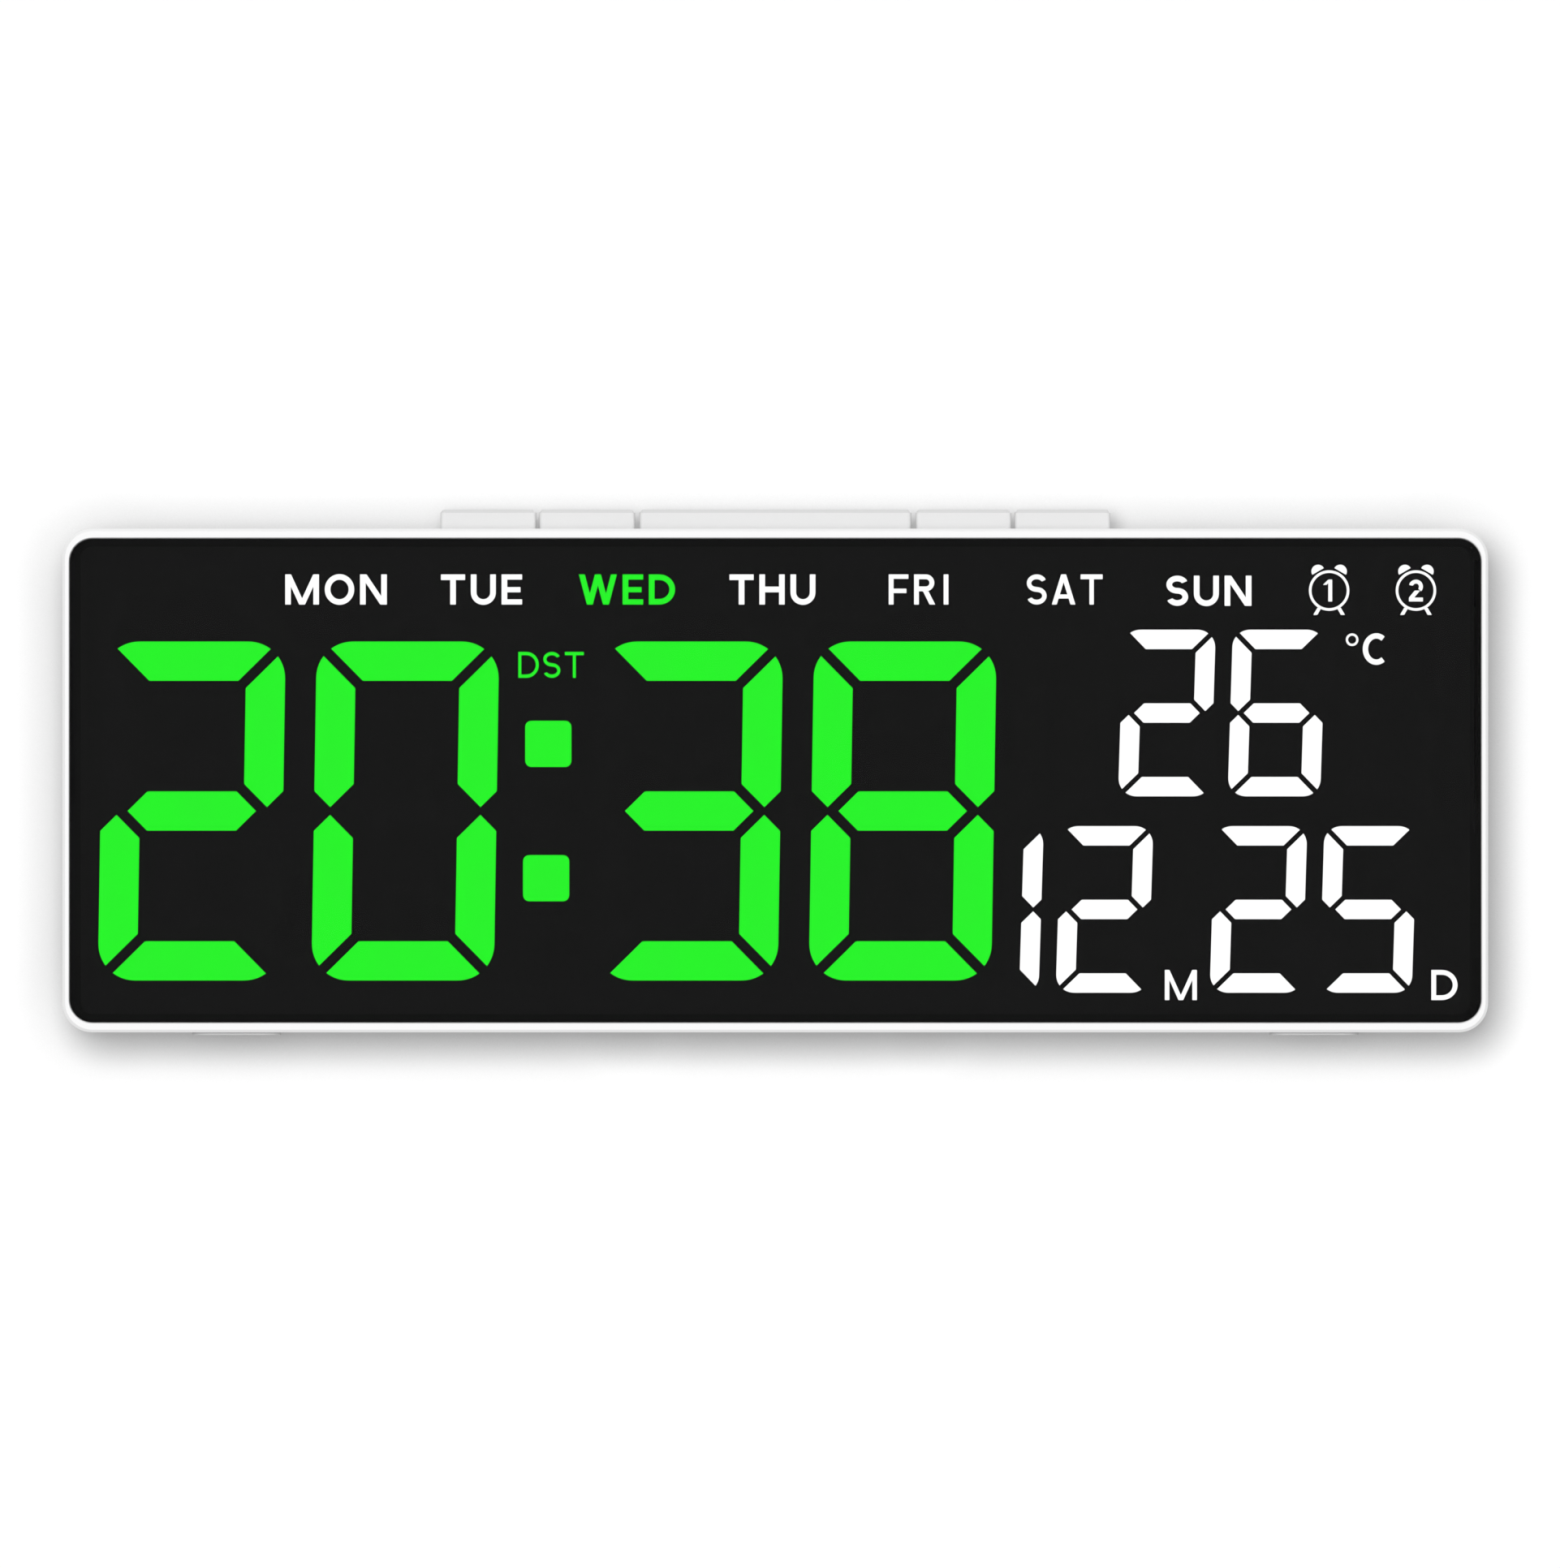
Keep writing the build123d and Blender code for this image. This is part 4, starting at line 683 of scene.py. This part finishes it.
class Growth(Graph):
    """A Geometry Nodes tree with named inputs, ended by Realize Instances and Set Material."""

    def __init__(self, name, sizes):
        tree = bpy.data.node_groups.new(name, "GeometryNodeTree")
        tree.is_modifier = True
        super().__init__(tree)
        tree.interface.new_socket("Geometry", in_out="OUTPUT", socket_type="NodeSocketGeometry")
        kinds = {"Geometry": "NodeSocketGeometry", "Material": "NodeSocketMaterial",
                 "Turn": "NodeSocketVector"}
        self.keys = {}
        for label in ["Geometry", "Material", "Turn"] + sizes:
            socket = tree.interface.new_socket(label, in_out="INPUT",
                                               socket_type=kinds.get(label, "NodeSocketFloat"))
            self.keys[label] = socket.identifier
        self.source = tree.nodes.new("NodeGroupInput")

    def given(self, label):
        """One of the tree's named inputs."""
        return Value(self, self.source.outputs[label])

    def vector(self, x, y, z):
        return self.node("ShaderNodeCombineXYZ", {}, {0: x, 1: y, 2: z})

    def moved(self, geometry, shift):
        return self.node("GeometryNodeTransform", {}, {"Geometry": geometry, "Translation": shift})

    def end(self, piece):
        """Puts the piece on every point, turned, and ends the tree."""
        turned = self.node("GeometryNodeTransform", {}, {"Geometry": piece,
                                                         "Rotation": self.given("Turn")})
        placed = self.node("GeometryNodeInstanceOnPoints", {}, {
            "Points": self.given("Geometry"), "Instance": turned})
        plain = self.node("GeometryNodeRealizeInstances", {}, {"Geometry": placed})
        painted = self.node("GeometryNodeSetMaterial", {}, {
            "Geometry": plain, "Material": self.given("Material")})
        self.node("NodeGroupOutput", {}, {0: painted})

    def grow(self, name, spots, material, **values):
        """The tree's result on the spots, as one plain mesh at the origin."""
        seed = bpy.data.meshes.new(name + "_spots")
        seed.from_pydata([tuple(spot) for spot in spots], [], [])
        holder = bpy.data.objects.new(name + "_spots", seed)
        bpy.context.scene.collection.objects.link(holder)
        modifier = holder.modifiers.new("grow", "NODES")
        modifier.node_group = self.tree
        modifier[self.keys["Material"]] = finishes[material]
        for label, value in values.items():
            modifier[self.keys[label.replace("_", " ")]] = value
        bpy.context.view_layer.update()
        result = holder.evaluated_get(bpy.context.evaluated_depsgraph_get())
        mesh = bpy.data.meshes.new_from_object(result)
        mesh.name = name
        bpy.data.objects.remove(holder)
        shape = bmesh.new()
        shape.from_mesh(mesh)
        return new_object(name, shape, finishes[material])


def screw_tree():
    """A pan-head screw with a cross recess and a thread, its head towards +Z."""
    tree = Growth("screw", ["Head Radius", "Head Height", "Shank Radius", "Shank Length",
                            "Recess Width", "Thread Pitch"])
    radius, height = tree.given("Head Radius"), tree.given("Head Height")
    shank, length = tree.given("Shank Radius"), tree.given("Shank Length")
    width, pitch = tree.given("Recess Width"), tree.given("Thread Pitch")
    blank = tree.node("GeometryNodeMeshCylinder", {}, {
        "Vertices": 32, "Side Segments": 2, "Fill Segments": 5, "Radius": radius, "Depth": height},
        "Mesh")
    place = tree.node("GeometryNodeInputPosition")
    x = tree.node("ShaderNodeSeparateXYZ", {}, {0: place}, 0)
    y = tree.pick(x, 1)
    z = tree.pick(x, 2)
    away = (x * x + y * y) / (radius * radius)
    top = z > height / 4
    drop = top * away * away * height * 0.38
    dome = tree.node("GeometryNodeSetPosition", {}, {
        "Geometry": blank, "Offset": tree.vector(0.0, 0.0, 0.0 - drop)})
    head = tree.moved(dome, tree.vector(0.0, 0.0, height / 2))
    cuts = []
    for across, along in ((radius * 1.25, width), (width, radius * 1.25)):
        slot = tree.node("GeometryNodeMeshCube", {}, {
            "Size": tree.vector(across, along, height)}, "Mesh")
        cuts.append(tree.moved(slot, tree.vector(0.0, 0.0, height)))
    cut_head = tree.node("GeometryNodeMeshBoolean", {"operation": "DIFFERENCE", "solver": "EXACT"},
                         {"Mesh 1": head, "Mesh 2": cuts}, "Mesh")
    core = tree.node("GeometryNodeMeshCylinder", {}, {
        "Vertices": 20, "Radius": shank * 0.8, "Depth": length}, "Mesh")
    stem = tree.moved(core, tree.vector(0.0, 0.0, 0.0 - length / 2))
    turns = (length - 2 * pitch) / pitch
    helix = tree.node("GeometryNodeCurveSpiral", {}, {
        "Resolution": 14, "Rotations": turns, "Start Radius": shank * 0.8,
        "End Radius": shank * 0.8, "Height": turns * pitch}, "Curve")
    ridge = tree.node("GeometryNodeCurvePrimitiveCircle", {}, {
        "Resolution": 3, "Radius": shank * 0.2}, "Curve")
    thread = tree.node("GeometryNodeCurveToMesh", {}, {
        "Curve": helix, "Profile Curve": ridge, "Fill Caps": True})
    thread = tree.moved(thread, tree.vector(0.0, 0.0, pitch - length))
    tree.end(tree.node("GeometryNodeJoinGeometry", {}, {0: [cut_head, stem, thread]}))
    return tree


def lamp_tree():
    """The dome on a lamp."""
    tree = Growth("lamp_dome", ["Dome Radius", "Dome Height"])
    ball = tree.node("GeometryNodeMeshUVSphere", {}, {
        "Segments": 12, "Rings": 8, "Radius": 1.0}, "Mesh")
    dome = tree.node("GeometryNodeTransform", {}, {"Geometry": ball, "Scale": tree.vector(
        tree.given("Dome Radius"), tree.given("Dome Radius"), tree.given("Dome Height"))})
    tree.end(dome)
    return tree


def joint_tree():
    """A solder joint: a small cone of tin."""
    tree = Growth("solder_joint", ["Joint Radius", "Joint Height"])
    cone = tree.node("GeometryNodeMeshCone", {}, {
        "Vertices": 12, "Radius Top": tree.given("Joint Radius") * 0.3,
        "Radius Bottom": tree.given("Joint Radius"), "Depth": tree.given("Joint Height")}, "Mesh")
    tree.end(cone)
    return tree


screw = screw_tree()
lamp = lamp_tree()
joint = joint_tree()


def dress_screws(node, axis, side, kind):
    """Screws with a recess and a thread in the place of the CAD's plain ones."""
    head_radius, head_height, shank_radius = kind
    spots = []
    for middle, size in solids(node):
        seat = Vector(middle)
        seat[axis] = middle[axis] + side * (size[axis] / 2 - head_height)
        spots.append(seat)
        length = size[axis] - head_height
    turns = {(1, 1): (-math.pi / 2, 0, 0), (2, -1): (math.pi, 0, 0), (2, 1): (0, 0, 0)}
    made = screw.grow(node + "_threaded", spots, "screw_steel", Turn=turns[axis, side],
                      Head_Radius=head_radius, Head_Height=head_height,
                      Shank_Radius=shank_radius, Shank_Length=length,
                      Recess_Width=recess_width, Thread_Pitch=thread_pitch)
    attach(made, "case")
    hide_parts(node)


dress_screws("case_screws", 1, 1, case_screw)
dress_screws("display_screws", 1, 1, board_screw)
dress_screws("key_board_screws", 2, -1, board_screw)
dress_screws("power_board_screws", 2, 1, board_screw)


def lamp_domes():
    """A dome on the front of every lamp."""
    facing = (math.pi / 2, 0, 0)
    for node, radius in (("time_lamps", large_dome), ("calendar_lamps", small_dome),
                         ("indicator_lamps", large_dome)):
        spots = [Vector((middle[0], middle[1] - size[1] / 2, middle[2]))
                 for middle, size in solids(node)]
        made = lamp.grow(node + "_domes", spots, "lamp_body", Turn=facing, Dome_Radius=radius,
                         Dome_Height=dome_height)
        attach(made, "case")


def switch_joints():
    """Solder joints of the push switches, under the key board."""
    board_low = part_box("key_board")[0][2]
    spots = []
    for middle, size in solids("switch_bodies"):
        for across in (-1, 1):
            for along in (-1, 1):
                spots.append(Vector((middle[0] + across * switch_pin_across,
                                     middle[1] + along * switch_pin_along,
                                     board_low - joint_sink)))
    made = joint.grow("switch_joints", spots, "socket_steel", Turn=(math.pi, 0, 0),
                      Joint_Radius=joint_radius, Joint_Height=joint_height)
    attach(made, "case")


lamp_domes()
switch_joints()


# Stage: floor, backdrop, lamps, world and camera


def stage_material(name, level):
    """Plain pale surface with shade painted into its colour in nooks; only its front shows, to the
    eye and to mirrors.
    """
    finish = Finish(name, Roughness=1.0, Specular_IOR_Level=0.0, Emission_Color=grey(1.0),
                    Emission_Strength=level)
    pale = finish.blend(finish.noise(2.0), grey(0.985), grey(1.0))
    # Painted shade: ambient occlusion darkens the base colour near the case.
    open_sky = finish.node("ShaderNodeAmbientOcclusion", {"samples": 8},
                           {"Distance": nook_reach}, "AO")
    finish.vary("Base Color", finish.blend(open_sky, grey(nook_shade), pale))
    ray = finish.node("ShaderNodeLightPath", output="Is Camera Ray")
    seen = ray + finish.pick(ray, "Is Glossy Ray") + finish.pick(ray, "Is Transmission Ray")
    behind = finish.node("ShaderNodeNewGeometry", output="Backfacing")
    clear = finish.node("ShaderNodeBsdfTransparent")
    shaded = Value(finish, finish.shader.outputs[0])
    mix = finish.node("ShaderNodeMixShader", {}, {0: (seen > 0.5) * (1 - behind), 1: clear,
                                                  2: shaded})
    finish.node("ShaderNodeOutputMaterial", {"is_active_output": True}, {"Surface": mix})
    return finish.material


def stage_plane(name, corners, material):
    shape = bmesh.new()
    shape.faces.new([shape.verts.new(corner) for corner in corners])
    mesh = bpy.data.meshes.new(name)
    shape.to_mesh(mesh)
    shape.free()
    mesh.materials.append(material)
    made = bpy.data.objects.new(name, mesh)
    bpy.context.scene.collection.objects.link(made)
    made.visible_diffuse = False
    made.visible_shadow = False
    return made


half = stage_size / 2
wall_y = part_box("rear_shell")[1][1] + wall_gap
stage_plane("floor", [(-half, -half, 0), (half, -half, 0), (half, half, 0), (-half, half, 0)],
            stage_material("floor_white", floor_glow))
stage_plane("backdrop", [(-half, wall_y, -half), (half, wall_y, -half), (half, wall_y, half),
                         (-half, wall_y, half)], stage_material("backdrop_white", wall_glow))


def lamp_object(name, kind, energy, place, towards):
    data = bpy.data.lights.new(name, kind)
    data.energy = energy
    made = bpy.data.objects.new(name, data)
    made.location = place
    made.rotation_euler = (Vector(towards) - Vector(place)).to_track_quat("-Z", "Y").to_euler()
    bpy.context.scene.collection.objects.link(made)
    return made


key = lamp_object("key_sun", "SUN", key_level, key_place, (0, 0, 0))
key.data.angle = key_softness
# The lens would mirror this lamp into the camera, so mirrors don't see it
key.visible_glossy = False
back = lamp_object("back_sun", "SUN", back_level, back_place, (0, 0, 0))
back.data.angle = key_softness
# The softbox hangs behind the backdrop's plane, so it lights the top and not the backdrop
overhead = lamp_object("overhead_softbox", "AREA", overhead_watts,
                       (-overhead_left, wall_y + overhead_behind, overhead_rise),
                       (0, wall_y, case_high[2]))
overhead.data.size = overhead_size


def white_world():
    """Even light, seen as white by the eye and by mirrors."""
    world = bpy.data.worlds.new("studio")
    world.use_nodes = True
    graph = Graph(world.node_tree)
    graph.tree.nodes.clear()
    ray = graph.node("ShaderNodeLightPath", output="Is Camera Ray")
    seen = ray + graph.pick(ray, "Is Glossy Ray") + graph.pick(ray, "Is Transmission Ray")
    strength = world_level + (seen > 0.5) * (1 - world_level)
    light = graph.node("ShaderNodeBackground", {}, {"Color": grey(1.0), "Strength": strength})
    graph.node("ShaderNodeOutputWorld", {}, {"Surface": light})
    bpy.context.scene.world = world


white_world()


def photo_camera():
    """Straight on and level, without perspective, framed as the photograph is."""
    data = bpy.data.cameras.new("photo_camera")
    data.type = "ORTHO"
    data.sensor_fit = "VERTICAL"
    data.ortho_scale = PHOTO_HEIGHT * pixel
    camera = bpy.data.objects.new("photo_camera", data)
    case_middle_x = (CASE_LEFT + CASE_RIGHT) / 2
    camera.location = ((PHOTO_MIDDLE[0] - case_middle_x) * pixel, -camera_back,
                       case_low[2] + (CASE_BOTTOM - PHOTO_MIDDLE[1]) * pixel)
    camera.rotation_euler = (math.pi / 2, 0, 0)
    bpy.context.scene.collection.objects.link(camera)
    bpy.context.scene.camera = camera


photo_camera()
bpy.context.scene.view_settings.view_transform = "Standard"
